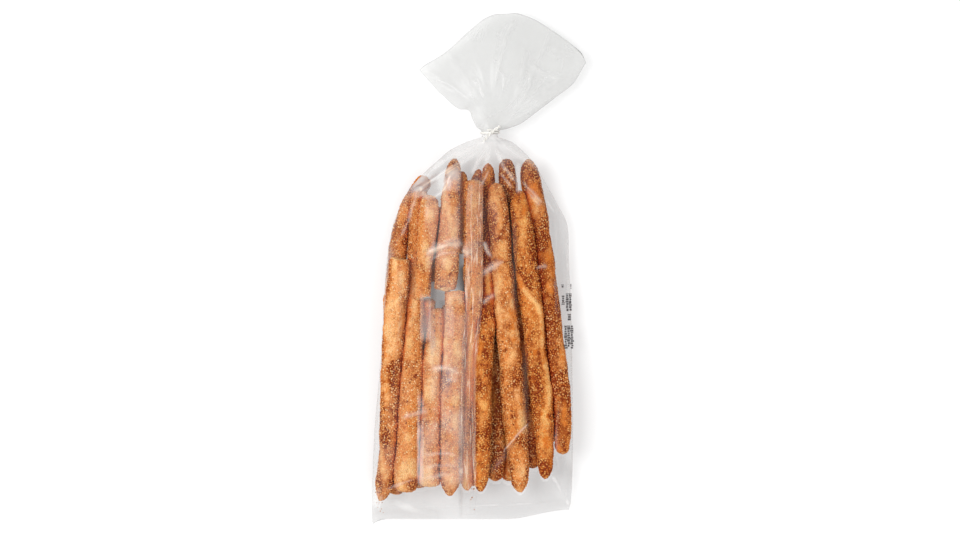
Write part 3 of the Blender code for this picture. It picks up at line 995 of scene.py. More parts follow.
# The body, from the sealed bottom up: (y, left x, right x, underside z, top z, height of the side edges).
BODY_STATIONS = (
    (-175.6, -75.6, 62.6, 6.4, 8.2, 7.3),
    (-173.0, -76.0, 63.2, 5.6, 10.2, 7.4),
    (-167.0, -76.3, 63.8, 3.2, 16.8, 7.8),
    (-159.0, -76.2, 64.3, 0.8, 25.8, 8.6),
    (-149.0, -75.9, 64.9, 0.4, 31.4, 9.4),
    (-112.0, -74.2, 65.5, 0.4, 33.2, 9.6),
    (-70.0, -70.6, 65.0, 0.4, 33.6, 9.4),
    (-30.0, -68.0, 64.2, 0.4, 33.6, 9.4),
    (5.0, -65.9, 62.6, 0.4, 33.2, 9.4),
    (31.0, -61.4, 61.6, 0.4, 32.4, 9.4),
    (45.5, -55.9, 54.9, 0.6, 31.6, 10.0),
    (57.0, -49.6, 48.6, 1.2, 30.4, 11.0),
    (68.6, -38.9, 42.0, 2.2, 28.2, 12.4),
    (77.0, -29.6, 36.2, 3.8, 26.0, 13.2),
    (84.4, -20.8, 29.4, 5.6, 23.4, 13.7),
    (90.0, -9.4, 22.6, 7.6, 20.8, 14.0),
)
BODY_ROWS = 300
TOP_SQUARENESS = 2.4
BASE_SQUARENESS = 3.2
BASE_FULLNESS = 1.3
# How far the sticks may push the film up, above its plain shape.
MOST_SWELL = 6 * MM
SEAL_RISE = 6.6 * MM
SEAL_CORNER = 3.6 * MM
SEAL_BLEND = 14.0 * MM

# The open end above the tie: how far its edge lies from the neck, from its left corner to its right one.
FAN_EDGE = (
    65.4, 64.6, 63.3, 62.5, 63.1, 64.6, 67.2, 70.4, 74.2, 78.6, 81.4,
    82.4, 84.3, 84.0, 83.6, 82.8, 82.6, 82.8, 83.4, 84.2, 82.8,
)
# The angles of its two sides, in degrees, from the neck out.
FAN_LEFT_ANGLES = (166.0, 163.0, 151.0, 137.0, 145.5, 145.5, 144.0, 143.0, 141.6, 140.5, 139.6)
FAN_RIGHT_ANGLES = (2.0, 8.0, 20.0, 26.0, 29.0, 35.0)
FAN_HALF_DEPTH = 9.0 * MM
FAN_RIM_HALF_DEPTH = 2.6 * MM
FAN_DROP = 2.5 * MM
# The fan is drawn in to this share of the neck's radius where it starts.
FAN_WAIST = 0.9
FAN_ROWS = 92
FAN_HAZE = 0.52
FAN_HAZE_TO_RIGHT = 0.15
FAN_CLEARER = 0.14

# How high the unevenness of the film is.
NECK_PLEATS = 0.9 * MM
FAR_PLEATS = 0.35 * MM
WALL_CRINKLES = 0.9 * MM
SKIRT_CRINKLES = 0.8 * MM
BODY_WAVES = 0.22 * MM
FAN_PLEATS = 0.42 * MM
FAN_WAVES = 1.2 * MM

TOP_COLUMNS = 176
BASE_COLUMNS = 52
END_CLEARANCE = 1.5 * MM
FILM_CLEARANCE = 0.9 * MM
RELAX_STEPS = 900
SAG = 0.0009 * MM

# The picture's middle is over the origin, and one of its dots is this wide at the height of focus.
PICTURE_MIDDLE = (480.0, 270.0)
DOT = VIEW_WIDTH / 960.0

# Creases of the film over the body, as places in the picture, then how high and how wide each one is in mm,
# and how white its line is: a painted highlight, which below zero is a brown line instead.
BODY_FOLDS = {
    "long_left": (((419, 183), (413, 205), (408, 222), (393, 248)), 0.9, 1.5, 0.5),
    "shoulder_left": (((474, 155), (462, 161), (450, 168), (438, 176), (427, 183), (417, 188)), 0.8, 0.8, 0.75),
    "shoulder_left_low": (((472, 160), (460, 165), (448, 172), (436, 179), (426, 186)), 0.5, 0.7, 0.55),
    "shoulder_left_brown": (((442, 171), (431, 178), (420, 184), (409, 190)), 0.3, 1.1, -0.9),
    "shoulder_left_brown_low": (((440, 178), (431, 184), (422, 191), (412, 199)), 0.3, 1.0, -0.7),
    "shoulder_edge": (((418, 184), (421, 190), (426, 197), (432, 199)), 0.5, 1.0, 0.5),
    "round_short_stick": (((420, 196), (431, 198), (441, 193), (447, 184), (449, 177)), 0.5, 1.0, 0.7),
    "neck_left_low": (((484, 141), (462, 152), (440, 163), (426, 176)), 1.2, 2.2, 0.35),
    "neck_left_mid": (((485, 144), (466, 160), (452, 174), (440, 186)), 1.2, 2.0, 0.35),
    "neck_left_steep": (((487, 147), (478, 162), (471, 177)), 1.0, 1.8, 0.35),
    "neck_middle": (((490, 146), (487, 160), (484, 176)), 0.9, 1.6, 0.3),
    "neck_right_steep": (((494, 146), (500, 158), (507, 171)), 1.0, 1.6, 0.35),
    "neck_right_low": (((498, 142), (514, 150), (530, 160), (540, 172)), 1.0, 2.0, 0.3),
    "back_tip_left": (((480, 187), (485, 178), (490, 168)), 0.4, 0.8, 0.5),
    "over_back_tip": (((502, 166), (509, 172), (516, 183)), 0.5, 0.9, 0.7),
    "over_back_tip_low": (((500, 172), (506, 179), (513, 190)), 0.4, 0.8, 0.45),
    "over_far_right": (((521, 181), (532, 192), (544, 206)), 0.6, 1.1, 0.6),
    "over_far_right_low": (((524, 188), (534, 199), (541, 207)), 0.4, 0.8, 0.4),
    "far_right_short": (((535, 269), (541, 266), (549, 266)), 0.5, 1.2, 0.5),
    "arc": (((425, 257), (434, 250), (444, 246), (455, 244), (464, 245)), 0.7, 2.2, 1.05),
    "arc_under": (((429, 262), (438, 256), (450, 252), (460, 254)), 0.4, 0.9, 0.35),
    "patch": (((461, 251), (466, 252), (470, 256)), 0.5, 2.0, 0.8),
    "beside_seam": (((483, 241), (487, 249), (491, 259)), 0.5, 1.0, 0.8),
    "diagonal_high": (((480, 277), (489, 270), (499, 264), (506, 259)), 0.6, 1.9, 0.5),
    "diagonal_mid": (((481, 305), (488, 299), (497, 293)), 0.5, 1.7, 0.5),
    "box_top": (((431, 369), (442, 368), (453, 370), (459, 377)), 0.5, 1.8, 0.8),
    "box_low": (((459, 377), (453, 380), (446, 379)), 0.3, 1.2, 0.4),
    "left_low": (((400, 419), (410, 415), (420, 412), (430, 411)), 0.5, 1.5, 0.5),
    "white_dot": (((460.8, 467), (461, 470.5), (461.2, 474)), 0.3, 0.8, 1.6),
    "veil_edge": (((419, 404), (419, 430), (420, 460), (421, 486)), 0.4, 0.7, 0.35),
    "veil_crease_high": (((422, 455), (440, 453), (458, 455)), 0.3, 0.8, 0.35),
    "veil_crease_mid": (((424, 467), (440, 465), (460, 466)), 0.3, 0.8, 0.35),
    "veil_crease_low": (((422, 479), (438, 475), (456, 474)), 0.3, 0.8, 0.4),
    "right_low": (((535, 417), (527, 424), (520, 431), (512, 441), (505, 449), (495, 463)), 0.3, 0.7, 0.7),
    # A brown painted shadow just below the low right fold.
    "right_low_brown": (((518, 437), (511, 446), (504, 455), (497, 464), (490, 474)), 0.2, 1.6, -1.4),
    "right_low_under": (((520, 444), (510, 452), (499, 461), (489, 471)), 0.4, 1.0, 0.15),
    "bottom_left_diagonal": (((384, 491), (399, 484), (416, 478)), 0.6, 1.0, 0.5),
    "gusset": (((377, 498), (398, 507), (418, 514), (446, 521)), 0.3, 5.0, 0.25),
    "hem_side": (((569, 487), (567, 500), (572, 512)), 0.5, 1.2, 0.4),
    "gusset_side": (((379, 486), (376, 500), (374, 514)), 0.5, 1.4, 0.35),
    "gusset_inner": (((383, 493), (379, 505), (377, 517)), 0.5, 0.9, 0.35),
    "hem": (((392, 509), (430, 508), (470, 507), (520, 506), (566, 502)), 0.35, 0.8, 0.3),
    "right_panel": (((555, 200), (556, 240), (556, 290), (558, 330)), 0.5, 1.3, 0.25),
    "right_panel_outer": (((566, 214), (568, 260), (569, 320), (571, 400)), 0.4, 1.0, 0.25),
    "right_shoulder": (((538, 168), (551, 188), (562, 206)), 0.6, 1.4, 0.25),
    "right_shoulder_inner": (((545, 199), (551, 206), (556, 216)), 0.4, 0.9, 0.5),
    "low_right": (((560, 400), (556, 440), (560, 480)), 0.4, 1.2, 0.25),
    "low_right_corner": (((548, 470), (560, 490), (569, 508)), 0.5, 1.2, 0.35),
}

# Creases of the open end, written the same way; their white lines are painted highlights.
FAN_FOLDS = {
    "from_tip": (((517, 15), (514, 20), (508, 31), (504, 45), (500, 62), (496, 84), (493, 106)), 1.3, 1.7, 0.55),
    "left_of_tip": (((500, 19), (497, 40), (494, 70), (492, 100)), 0.8, 1.6, 0.3),
    "left_corner": (((423, 69), (440, 78), (462, 95), (482, 114)), 1.0, 1.9, 0.5),
    "left_upper": (((446, 48), (458, 66), (474, 90), (487, 112)), 0.9, 1.9, 0.35),
    "left_top": (((468, 32), (476, 55), (484, 84), (490, 112)), 0.7, 1.7, 0.3),
    "band_under_tip": (((525, 34), (525, 56), (522, 78), (514, 100)), 1.0, 2.4, 0.3),
    "crease_right": (((527, 62), (534, 66), (540, 72), (555, 77), (579, 78)), 0.9, 1.3, 0.85),
    "crease_right_low": (((530, 71), (531, 80), (524, 98), (506, 116)), 0.9, 1.3, 0.5),
    "right_upper": (((552, 30), (543, 52), (527, 84), (503, 114)), 0.9, 1.9, 0.35),
    "right_corner": (((586, 66), (562, 78), (534, 96), (505, 118)), 1.0, 1.9, 0.4),
    "patch_edge": (((547, 48), (560, 50), (576, 55)), 0.5, 1.0, 0.6),
    "right_low": (((572, 86), (548, 100), (524, 114), (503, 124)), 0.8, 1.5, 0.4),
    "crumple_one": (((468, 78), (477, 84), (482, 95), (488, 104)), 0.6, 1.5, 0.6),
    "crumple_two": (((473, 74), (482, 88), (486, 103)), 0.5, 1.4, 0.45),
    "crumple_three": (((466, 93), (474, 98), (483, 109)), 0.5, 1.5, 0.6),
    "streak_left": (((431, 79), (442, 81), (456, 88)), 0.6, 1.0, 0.8),
    "streak_left_low": (((436, 86), (447, 89), (458, 96)), 0.5, 1.0, 0.6),
    "short_middle": (((497, 66), (505, 78), (502, 92)), 0.6, 1.1, 0.45),
    "lobe_left": (((471, 113), (473, 122), (479, 129), (487, 128)), 0.7, 1.0, 0.7),
    "lobe_right": (((532, 119), (518, 127), (504, 131), (496, 128)), 0.7, 1.1, 0.5),
}

# Fine parallel wrinkles beside the tip of the open end, each with a painted highlight: the first one, and the
# steps to each next one.
HATCH = ((461, 41), (466, 32), (473, 25))
HATCH_STEPS = ((3.6, 0.9), (3.6, -0.1), (3.6, -0.6))
HATCH_COUNT = 6
for nth in range(HATCH_COUNT):
    hatch_line = tuple((x + dx * nth, y + dy * nth) for (x, y), (dx, dy) in zip(HATCH, HATCH_STEPS))
    FAN_FOLDS[f"hatch_{nth}"] = (hatch_line, 0.3, 0.6, 0.7)

# Soft darker folds of the open end, where more film lies over itself: painted shade, as milkier and greyer film.
FAN_SHADOWS = {
    "under_tip": (((517, 15), (511, 28), (505, 42), (500, 58)), 0.3, 3.0, 1.0),
    "beside_crease": (((527, 46), (529, 66), (531, 84)), 0.3, 1.6, 0.9),
    "patch": (((547, 46), (554, 41), (563, 37)), 0.1, 6.5, 0.9),
    "towards_neck": (((512, 60), (508, 80), (501, 100)), 0.3, 3.4, 0.5),
    "left": (((440, 60), (456, 74), (470, 92)), 0.3, 3.0, 0.4),
}

# Where the film hangs in the shade between sticks: (middle, half width, half height, strength) in the picture.
SHADED = (
    ((432.5, 325), 4.0, 26, 0.30),
    ((514, 268), 3.6, 46, 0.22),
    ((525, 392), 3.6, 44, 0.22),
    ((461, 455), 2.6, 60, 0.20),
)

# The same on the film under the bread, where holes between the sticks let it be seen.
SHADED_BELOW = (
    ((465.0, 280), 8, 16, 0.95),
    ((459, 266), 8, 26, 0.60),
    ((438.5, 302), 14, 14, 0.42),
    ((444, 307), 7, 8, 0.62),
    ((432, 272), 8, 38, 0.70),
)

# Where the film looks milky, written the same way: partly its own milkiness, partly a painted reflection of the
# key light on flat film over the left sticks, and painted light in the shaded gaps between the tips.
VEILS = (
    ((446, 446), 26, 48, 0.40),
    ((449, 340), 21, 74, 0.34),
    ((444, 226), 20, 52, 0.30),
    ((430, 340), 10, 60, 0.20),
    ((404, 300), 12, 46, 0.12),
    ((490, 260), 9, 60, 0.12),
    ((430, 189), 22, 9, 0.50),
    ((453, 181), 9, 12, 0.80),
    ((426, 318), 6, 24, 0.75),
    ((446, 322), 10, 20, 0.42),
    ((421, 183), 13, 10, 1.10),
    ((421, 440), 3.4, 48, 0.80),
    ((441, 400), 3.4, 70, 0.35),
    ((474, 148), 32, 12, 0.36),
    ((512, 151), 26, 11, 0.24),
    ((442, 184), 6, 8, 1.10),
    ((518, 178), 3, 15, 0.90),
    ((400, 400), 22, 140, 0.09),
    ((388, 472), 12, 34, 0.20),
    ((470, 250), 9, 10, 0.30),
)
VEIL_SOFTNESS = 0.4
SHOULDER_SOFTNESS = 0.85
SHADE_SOFTNESS = 1.0
# Above this row of the picture the milky places have the softer edges.
SHOULDER_ROW = 210

# The film's finishes: its own colour, the colour where it is milky, its opacity and its shine.
FILM_KINDS = {
    "body_film": (colour(44, 42, 40), colour(229, 228, 226), 0.085, 0.55),
    "fan_film": (colour(44, 42, 40), colour(204, 204, 202), 0.085, 0.2),
    "seam_film": (colour(214, 208, 204), colour(226, 190, 168), 0.012, 0.3),
}
# The painted highlights' colours along creases, over the film and over bread.
FILM_CREASE = colour(246, 244, 242)
CREASE_OVER_BREAD = colour(246, 222, 196)
FILM_EDGE_ON = colour(208, 207, 205)
# The brown lines' colour; just below the low right fold it is a painted shadow.
FILM_LINE = colour(132, 76, 52)
FILM_IN_SHADE = colour(114, 66, 32)
# The share of the film's opacity that is left where it lies on bread.
CLEAR_OVER_BREAD = 0.15
FILM_ROUGHNESS = 0.27
FILM_BENDING = 1.9
NECK_HAZE = 0.45
WALL_SHADE = 0.1
SHOULDER_SHADE = 0.06
HEM_SHADE = 0.07
SKIRT_SHADE = 0.07
# The heights that the creases' places in the picture are read at.
BODY_FOLD_HEIGHT = 28 * MM
FAN_FOLD_HEIGHT = 18 * MM


def spot(place, height=VIEW_HEIGHT_OF_FOCUS):
    """The (x, y) in metres that the camera sees at a place in the picture, for a point at that height."""
    nearer = 1.0 - (height - VIEW_HEIGHT_OF_FOCUS) / CAMERA_DISTANCE
    x = (place[0] - PICTURE_MIDDLE[0]) * DOT * nearer
    y = (PICTURE_MIDDLE[1] - place[1]) * DOT * nearer
    return np.array([x, y])


def rounded(corners, step):
    """A smooth path through the corners, with a point every step or so."""
    corners = np.asarray(corners, float)
    count = max(4, int(np.linalg.norm(np.diff(corners, axis=0), axis=1).sum() / step))
    where = np.linspace(0.0, 1.0, count)
    return np.stack([through(column, where) for column in corners.T], axis=1)


def add_folds(points, folds, height):
    """How much the creases lift a sheet of film at its points, and their painted highlight's whiteness,
    which below zero is how brown they make it."""
    lift = np.zeros(len(points))
    white = np.zeros(len(points))
    for corners, high, wide, whiteness in folds.values():
        path = rounded([spot(c, height) for c in corners], 4 * MM)
        low, top = path.min(axis=0) - 8 * MM, path.max(axis=0) + 8 * MM
        close = np.nonzero(np.all((points > low) & (points < top), axis=1))[0]
        if not len(close):
            continue
        here = np.column_stack([points[close], np.zeros(len(close))])
        away, share = near_path(points[close] + 0.5 * MM * ripple(here, 5 * MM, 433)[:, None], path)
        taper = smoothstep(0.0, 0.3, share) * smoothstep(1.0, 0.7, share)
        patchy = np.clip(0.75 + 0.7 * layered(here, 6 * MM, 431, 3), 0.15, 1.2)
        reach = wide * MM * (0.5 + 0.5 * taper)
        lift[close] += 0.7 * high * MM * np.exp(-((away / reach) ** 2)) * taper
        core = 1.15 * wide * MM * patchy
        line = 0.5 * smoothstep(1.1 * core, 0.1 * MM, away) + 0.4 * smoothstep(2.8 * core, 0.3 * MM, away)
        stronger = whiteness * taper * patchy * line
        white[close] = np.where(np.abs(stronger) > np.abs(white[close]), stronger, white[close])
    return lift, white


def pleats(angle, away, seed):
    """Sharp-crested folds that run out from the neck: their height there from -1 to 1."""
    spread = np.log(np.maximum(away, 2 * MM) / MM)
    total = np.zeros(len(angle))
    for k, (pitch, share) in enumerate(((17.0, 0.5), (9.0, 0.32), (4.5, 0.18))):
        bent = angle + math.radians(7.0) * ripple(np.stack([angle * 2, spread, angle * 0], axis=1), 1.0, seed + k)
        at = np.stack([bent / math.radians(pitch), spread * 0.9, np.zeros(len(angle))], axis=1)
        total += share * (1.0 - 2.6 * np.abs(ripple(at, 1.0, seed + 3 * k)))
    return total


def columns_across():
    """Where a ring's points lie from -1, its left side, to 1: those of its top, then those of its base."""
    top = np.linspace(-1.0, 1.0, TOP_COLUMNS)
    top = 0.72 * top + 0.28 * np.sin(top * math.pi / 2)
    base = np.sin(np.linspace(1.0, -1.0, BASE_COLUMNS + 2)[1:-1] * math.pi / 2)
    return top, base


def dome(u, squareness):
    return (1.0 - np.abs(u) ** squareness) ** (1.0 / squareness)


def body_outline():
    """(y, left, right, low, high, edge) in metres, each one for all the evenly spread rows."""
    stations = np.array(BODY_STATIONS, float) * MM
    dense = np.linspace(0.0, 1.0, 600)
    table = np.stack([through(column, dense) for column in stations.T], axis=1)
    y = np.linspace(table[0, 0], table[-1, 0], BODY_ROWS)
    return [np.interp(y, table[:, 0], column)[:, None] for column in table.T]


def stick_tops(x, y, paths):
    """The height of the highest stick at each place of a grid."""
    top = np.zeros(x.shape)
    for name, path in paths.items():
        rows = path[::-1]
        cx, cz, width = (np.interp(y, rows[:, 1], rows[:, c]) for c in (0, 2, 3))
        first, last = (END_LENGTHS[end] for end in STICKS[name]["ends"])
        from_first = (path[0, 1] + END_CLEARANCE - y) / (first * path[0, 3] / 2 + END_CLEARANCE)
        from_last = (y - path[-1, 1] + END_CLEARANCE) / (last * path[-1, 3] / 2 + END_CLEARANCE)
        inward = np.clip(np.minimum(from_first, from_last), 0.0, 1.0)
        half = width / 2 * np.sqrt(1.0 - (1.0 - inward) ** 2)
        arch = np.maximum(1.0 - ((x - cx) / (half + 0.6 * MM)) ** 2, 0.0)
        here = np.where(arch > 0, cz + STICK_FLATNESS * half * np.sqrt(arch) + FILM_CLEARANCE, 0.0)
        top = np.maximum(top, np.where(inward > 0, here, 0.0))
    return top


def pull_tight(sheet, under, dx, dy):
    """Relaxes a sheet that is held at its edges, as tight film that rests on what is under it."""
    across = (1.0 / dx**2)[1:-1, None]
    along = 1.0 / dy**2
    total = 2 * (across + along)
    for _ in range(RELAX_STEPS):
        beside = (sheet[1:-1, :-2] + sheet[1:-1, 2:]) * across
        ahead = (sheet[:-2, 1:-1] + sheet[2:, 1:-1]) * along
        middle = (beside + ahead) / total - SAG
        sheet[1:-1, 1:-1] = np.maximum(middle, under[1:-1, 1:-1])
    return sheet


def in_boxes(points, boxes, softest=None):
    """The greatest strength of the soft-edged boxes that each (x, y) is in."""
    total = np.zeros(len(points))
    for middle, half_width, half_height, strength in boxes:
        gap = (points - spot(middle)) / (half_width * DOT, half_height * DOT)
        soft = softest or (VEIL_SOFTNESS if middle[1] > SHOULDER_ROW else SHOULDER_SOFTNESS)
        box = smoothstep(1.15, 1.15 - soft, np.abs(gap[:, 0])) * smoothstep(1.25, 0.6, np.abs(gap[:, 1]))
        total = np.maximum(total, strength * box)
    return total


def veil_at(points):
    """How milky the film is at each (x, y), painted reflection and painted light included. It is clear where it
    touches the bread.
    """
    solid = np.column_stack([points, np.zeros(len(points))])
    touching = smoothstep(0.10, 0.5, layered(solid * (1, 0.6, 1), 15 * MM, 403, 3))
    uneven = (1.0 + 0.4 * layered(solid * (1, 0.45, 1), 9 * MM, 401, 3)) * (1.0 - 0.6 * touching)
    return in_boxes(points, VEILS) * np.clip(uneven, 0.3, 1.5)


def end_strip(start):
    """Faces that join the top and base edges of an open end, row by row."""
    top = [start + i for i in range(TOP_COLUMNS)]
    base = [start] + [start + TOP_COLUMNS + BASE_COLUMNS - 1 - i for i in range(BASE_COLUMNS)] + [top[-1]]
    faces = []
    i = j = 0
    while i < len(top) - 1 or j < len(base) - 1:
        if j == len(base) - 1 or (i < len(top) - 1 and (i + 1) * (len(base) - 1) <= (j + 1) * (len(top) - 1)):
            faces.append((top[i], top[i + 1], base[j]))
            i += 1
        else:
            faces.append((top[i], base[j + 1], base[j]))
            j += 1
    return [face for face in faces if len(set(face)) == 3]


def tube_faces(rows):
    """Faces of a tube of rings, with both of its ends closed."""
    columns = TOP_COLUMNS + BASE_COLUMNS
    faces = grid_faces(rows, columns, True).tolist()
    faces += [face[::-1] for face in end_strip(0)]
    faces += end_strip((rows - 1) * columns)
    return faces


def seal_shift(at_seal, across):
    """How much further up the sealed end's edge lies, from the left side to the right one."""
    return at_seal * (SEAL_RISE * smoothstep(0.35, 1.0, across) - SEAL_CORNER * smoothstep(0.955, 1.0, -across))


def neck_rings(turn, upper):
    """The last rings of the body's film, gathered at the neck."""
    rings = []
    for k, (ring_y, share) in enumerate(NECK_RINGS):
        wide = NECK_RADIUS * share
        gather = 1.0 + 0.10 * np.cos(turn * 19.0 + 2.0 * k)
        ring_z = NECK_Z + wide * gather * upper * np.sqrt(np.maximum(1.0 - turn**2, 0.0))
        rings.append(np.stack([NECK_X + wide * turn, np.full(len(turn), ring_y), ring_z], axis=1))
    return np.stack(rings)


def body_relief(flat, u, at_seal):
    """How uneven the body's film is at its points: their lift, their distance from the neck, the pleats there, and
    the side walls with their crinkles."""
    solid = np.column_stack([flat, np.zeros(len(flat))])
    from_neck = flat - (NECK_X, NECK_Y)
    away = np.hypot(from_neck[:, 0], from_neck[:, 1])
    pleated = pleats(np.arctan2(from_neck[:, 0], -from_neck[:, 1]), away, 31)
    reach = NECK_PLEATS * np.exp(-away / (26 * MM)) + FAR_PLEATS * np.exp(-away / (75 * MM))
    loose = smoothstep(3 * MM, 9 * MM, away) * np.tile(smoothstep(0.0, 0.12, 1 - np.abs(u)), BODY_ROWS)
    lift = reach * pleated * loose
    side = np.tile(smoothstep(0.93, 0.985, np.abs(u)), BODY_ROWS)
    crinkle = layered(solid * (1, 0.3, 1), 4.5 * MM, 411, 3)
    lift += WALL_CRINKLES * side * crinkle * smoothstep(70 * MM, -10 * MM, flat[:, 1]) * (1 - side * 0.4)
    skirt = smoothstep(-150 * MM, -163 * MM, flat[:, 1])
    off_seal = np.repeat(at_seal < 0.96, len(u), 1).ravel()
    lift += SKIRT_CRINKLES * skirt * layered(solid * (0.35, 1, 1), 7 * MM, 415, 3) * off_seal
    lift += BODY_WAVES * layered(solid * (1, 0.5, 1), 9 * MM, 421, 3)
    return lift, away, pleated, side, crinkle


def body_haze(flat, away, pleated, side, crinkle, gap):
    """How milky the body's film is: at the neck, on its pleats, on the walls' crinkles, in the veils with their
    painted reflection and painted light, and less over gaps.
    """
    near_neck = 0.62 * np.exp(-away / (30 * MM)) + 0.12 * np.exp(-away / (60 * MM))
    crest = smoothstep(0.05, 0.75, pleated) * np.exp(-away / (45 * MM))
    haze = veil_at(flat) + near_neck * 0.5 + 0.18 * crest
    haze += 0.35 * side * smoothstep(0.1, 0.7, crinkle)
    return haze * (1.0 - 0.35 * smoothstep(1.5 * MM, 5 * MM, gap))


def body_shade(flat, side, crinkle, empty):
    """How dark the body's film is: between the sticks, on the walls, and towards both ends of the bag."""
    x, y = flat.T
    uneven = 1.0 + 0.25 * layered(np.column_stack([flat, np.zeros(len(flat))]), 5 * MM, 405, 2)
    wall = side * smoothstep(60 * MM, 10 * MM, y) * smoothstep(-160 * MM, -140 * MM, y)
    skirt = smoothstep(-126 * MM, -138 * MM, y) * smoothstep(-25 * MM, 20 * MM, x) * empty
    hem = smoothstep(-165 * MM, -171 * MM, y) * smoothstep(-22 * MM, -36 * MM, x)
    return (
        in_boxes(flat, SHADED, SHADE_SOFTNESS) * uneven + WALL_SHADE * wall * (1.0 + crinkle)
        + SHOULDER_SHADE * smoothstep(56 * MM, 74 * MM, y) + SKIRT_SHADE * skirt + HEM_SHADE * hem
    )


def make_body_film(paths):
    y, left, right, low, high, edge = body_outline()
    u, v = columns_across()
    middle, half = (left + right) / 2, (right - left) / 2
    at_seal = 1.0 - smoothstep(y[0], y[0] + SEAL_BLEND, y)
    x, top_y = middle + u * half, y + seal_shift(at_seal, u)
    start = edge + (high - edge) * dome(u, TOP_SQUARENESS)
    under = stick_tops(x, top_y, paths)
    spacing = (right - left)[:, 0] / TOP_COLUMNS
    top = pull_tight(start.copy(), np.minimum(under, start + MOST_SWELL), spacing, y[1, 0] - y[0, 0])
    flat = np.stack([x.ravel(), top_y.ravel()], axis=1)
    lift, away, pleated, side, crinkle = body_relief(flat, u, at_seal)
    fold_lift, white = add_folds(flat, BODY_FOLDS, BODY_FOLD_HEIGHT)
    z = (top.ravel() + lift + fold_lift).reshape(top.shape)
    z[0] = top[0]
    z[:, 0], z[:, -1] = edge[:, 0], edge[:, 0]
    base_x, base_y = middle + v * half, y + seal_shift(at_seal, v)
    base_z = np.maximum(edge - BASE_FULLNESS * (edge - low) * dome(v, BASE_SQUARENESS), low)
    sheets = [np.stack(sheet, axis=2) for sheet in ((x, top_y, z), (base_x, base_y, base_z))]
    rings = np.concatenate(sheets, axis=1)
    upper = np.repeat((1.0, -1.0), (len(u), len(v)))
    rings = np.concatenate([rings, neck_rings(np.concatenate([u, v]), upper)])
    piece = new_mesh("film_body", rings.reshape(-1, 3), tube_faces(len(rings)))
    piece.data.shade_smooth()

    haze, white_all, shade = (np.zeros(rings.shape[:2]) for _ in range(3))
    unbacked = np.ones(rings.shape[:2])
    on_top = (slice(0, BODY_ROWS), slice(0, TOP_COLUMNS))
    gap = np.clip(z - under, 0.0, 30 * MM).ravel()
    # Milkiness, with the veils' painted reflection and painted light.
    haze[on_top] = body_haze(flat, away, pleated, side, crinkle, gap).reshape(x.shape)
    haze[BODY_ROWS:] = NECK_HAZE
    white_all[on_top] = white.reshape(x.shape)
    shade[on_top] = body_shade(flat, side, crinkle, (under <= 0).ravel()).reshape(x.shape)
    below = np.stack([base_x.ravel(), base_y.ravel()], axis=1)
    shade[:BODY_ROWS, TOP_COLUMNS:] = in_boxes(below, SHADED_BELOW, SHADE_SOFTNESS).reshape(base_x.shape)
    unbacked[on_top] = mix(1.0, CLEAR_OVER_BREAD, under > 0)
    # Painted highlights along the creases, and brown lines, one of them a painted shadow.
    crease, line = np.maximum(white_all, 0.0), np.maximum(-white_all, 0.0)
    add_attributes(piece, haze=haze, crease=crease, line=line, unbacked=unbacked, shade=shade)
    return piece, (x, top_y, z)


def fan_layout(turn, share):
    """The plain shape of the open end: x, y, the angle and distance from the neck, and half of the depth."""
    edge = through(FAN_EDGE, (turn + 1) / 2) * MM
    right_angle = through(np.radians(FAN_RIGHT_ANGLES), share)
    left_angle = through(np.radians(FAN_LEFT_ANGLES), share)
    angle = left_angle + (turn + 1) / 2 * (right_angle - left_angle)
    away = share * edge
    gathered = NECK_RADIUS * FAN_WAIST * (1.0 - smoothstep(0.0, 0.22, share))
    x = NECK_X + gathered * turn + away * np.cos(angle)
    y = NECK_Y + NECK_STRAIGHT * smoothstep(0.0, 0.03, share) + away * np.sin(angle)
    grown = NECK_RADIUS * FAN_WAIST + (FAN_HALF_DEPTH - NECK_RADIUS) * smoothstep(0.0, 0.55, share)
    half = grown + (FAN_RIM_HALF_DEPTH - FAN_HALF_DEPTH) * smoothstep(0.55, 1.0, share)
    return x, y, angle, away, half


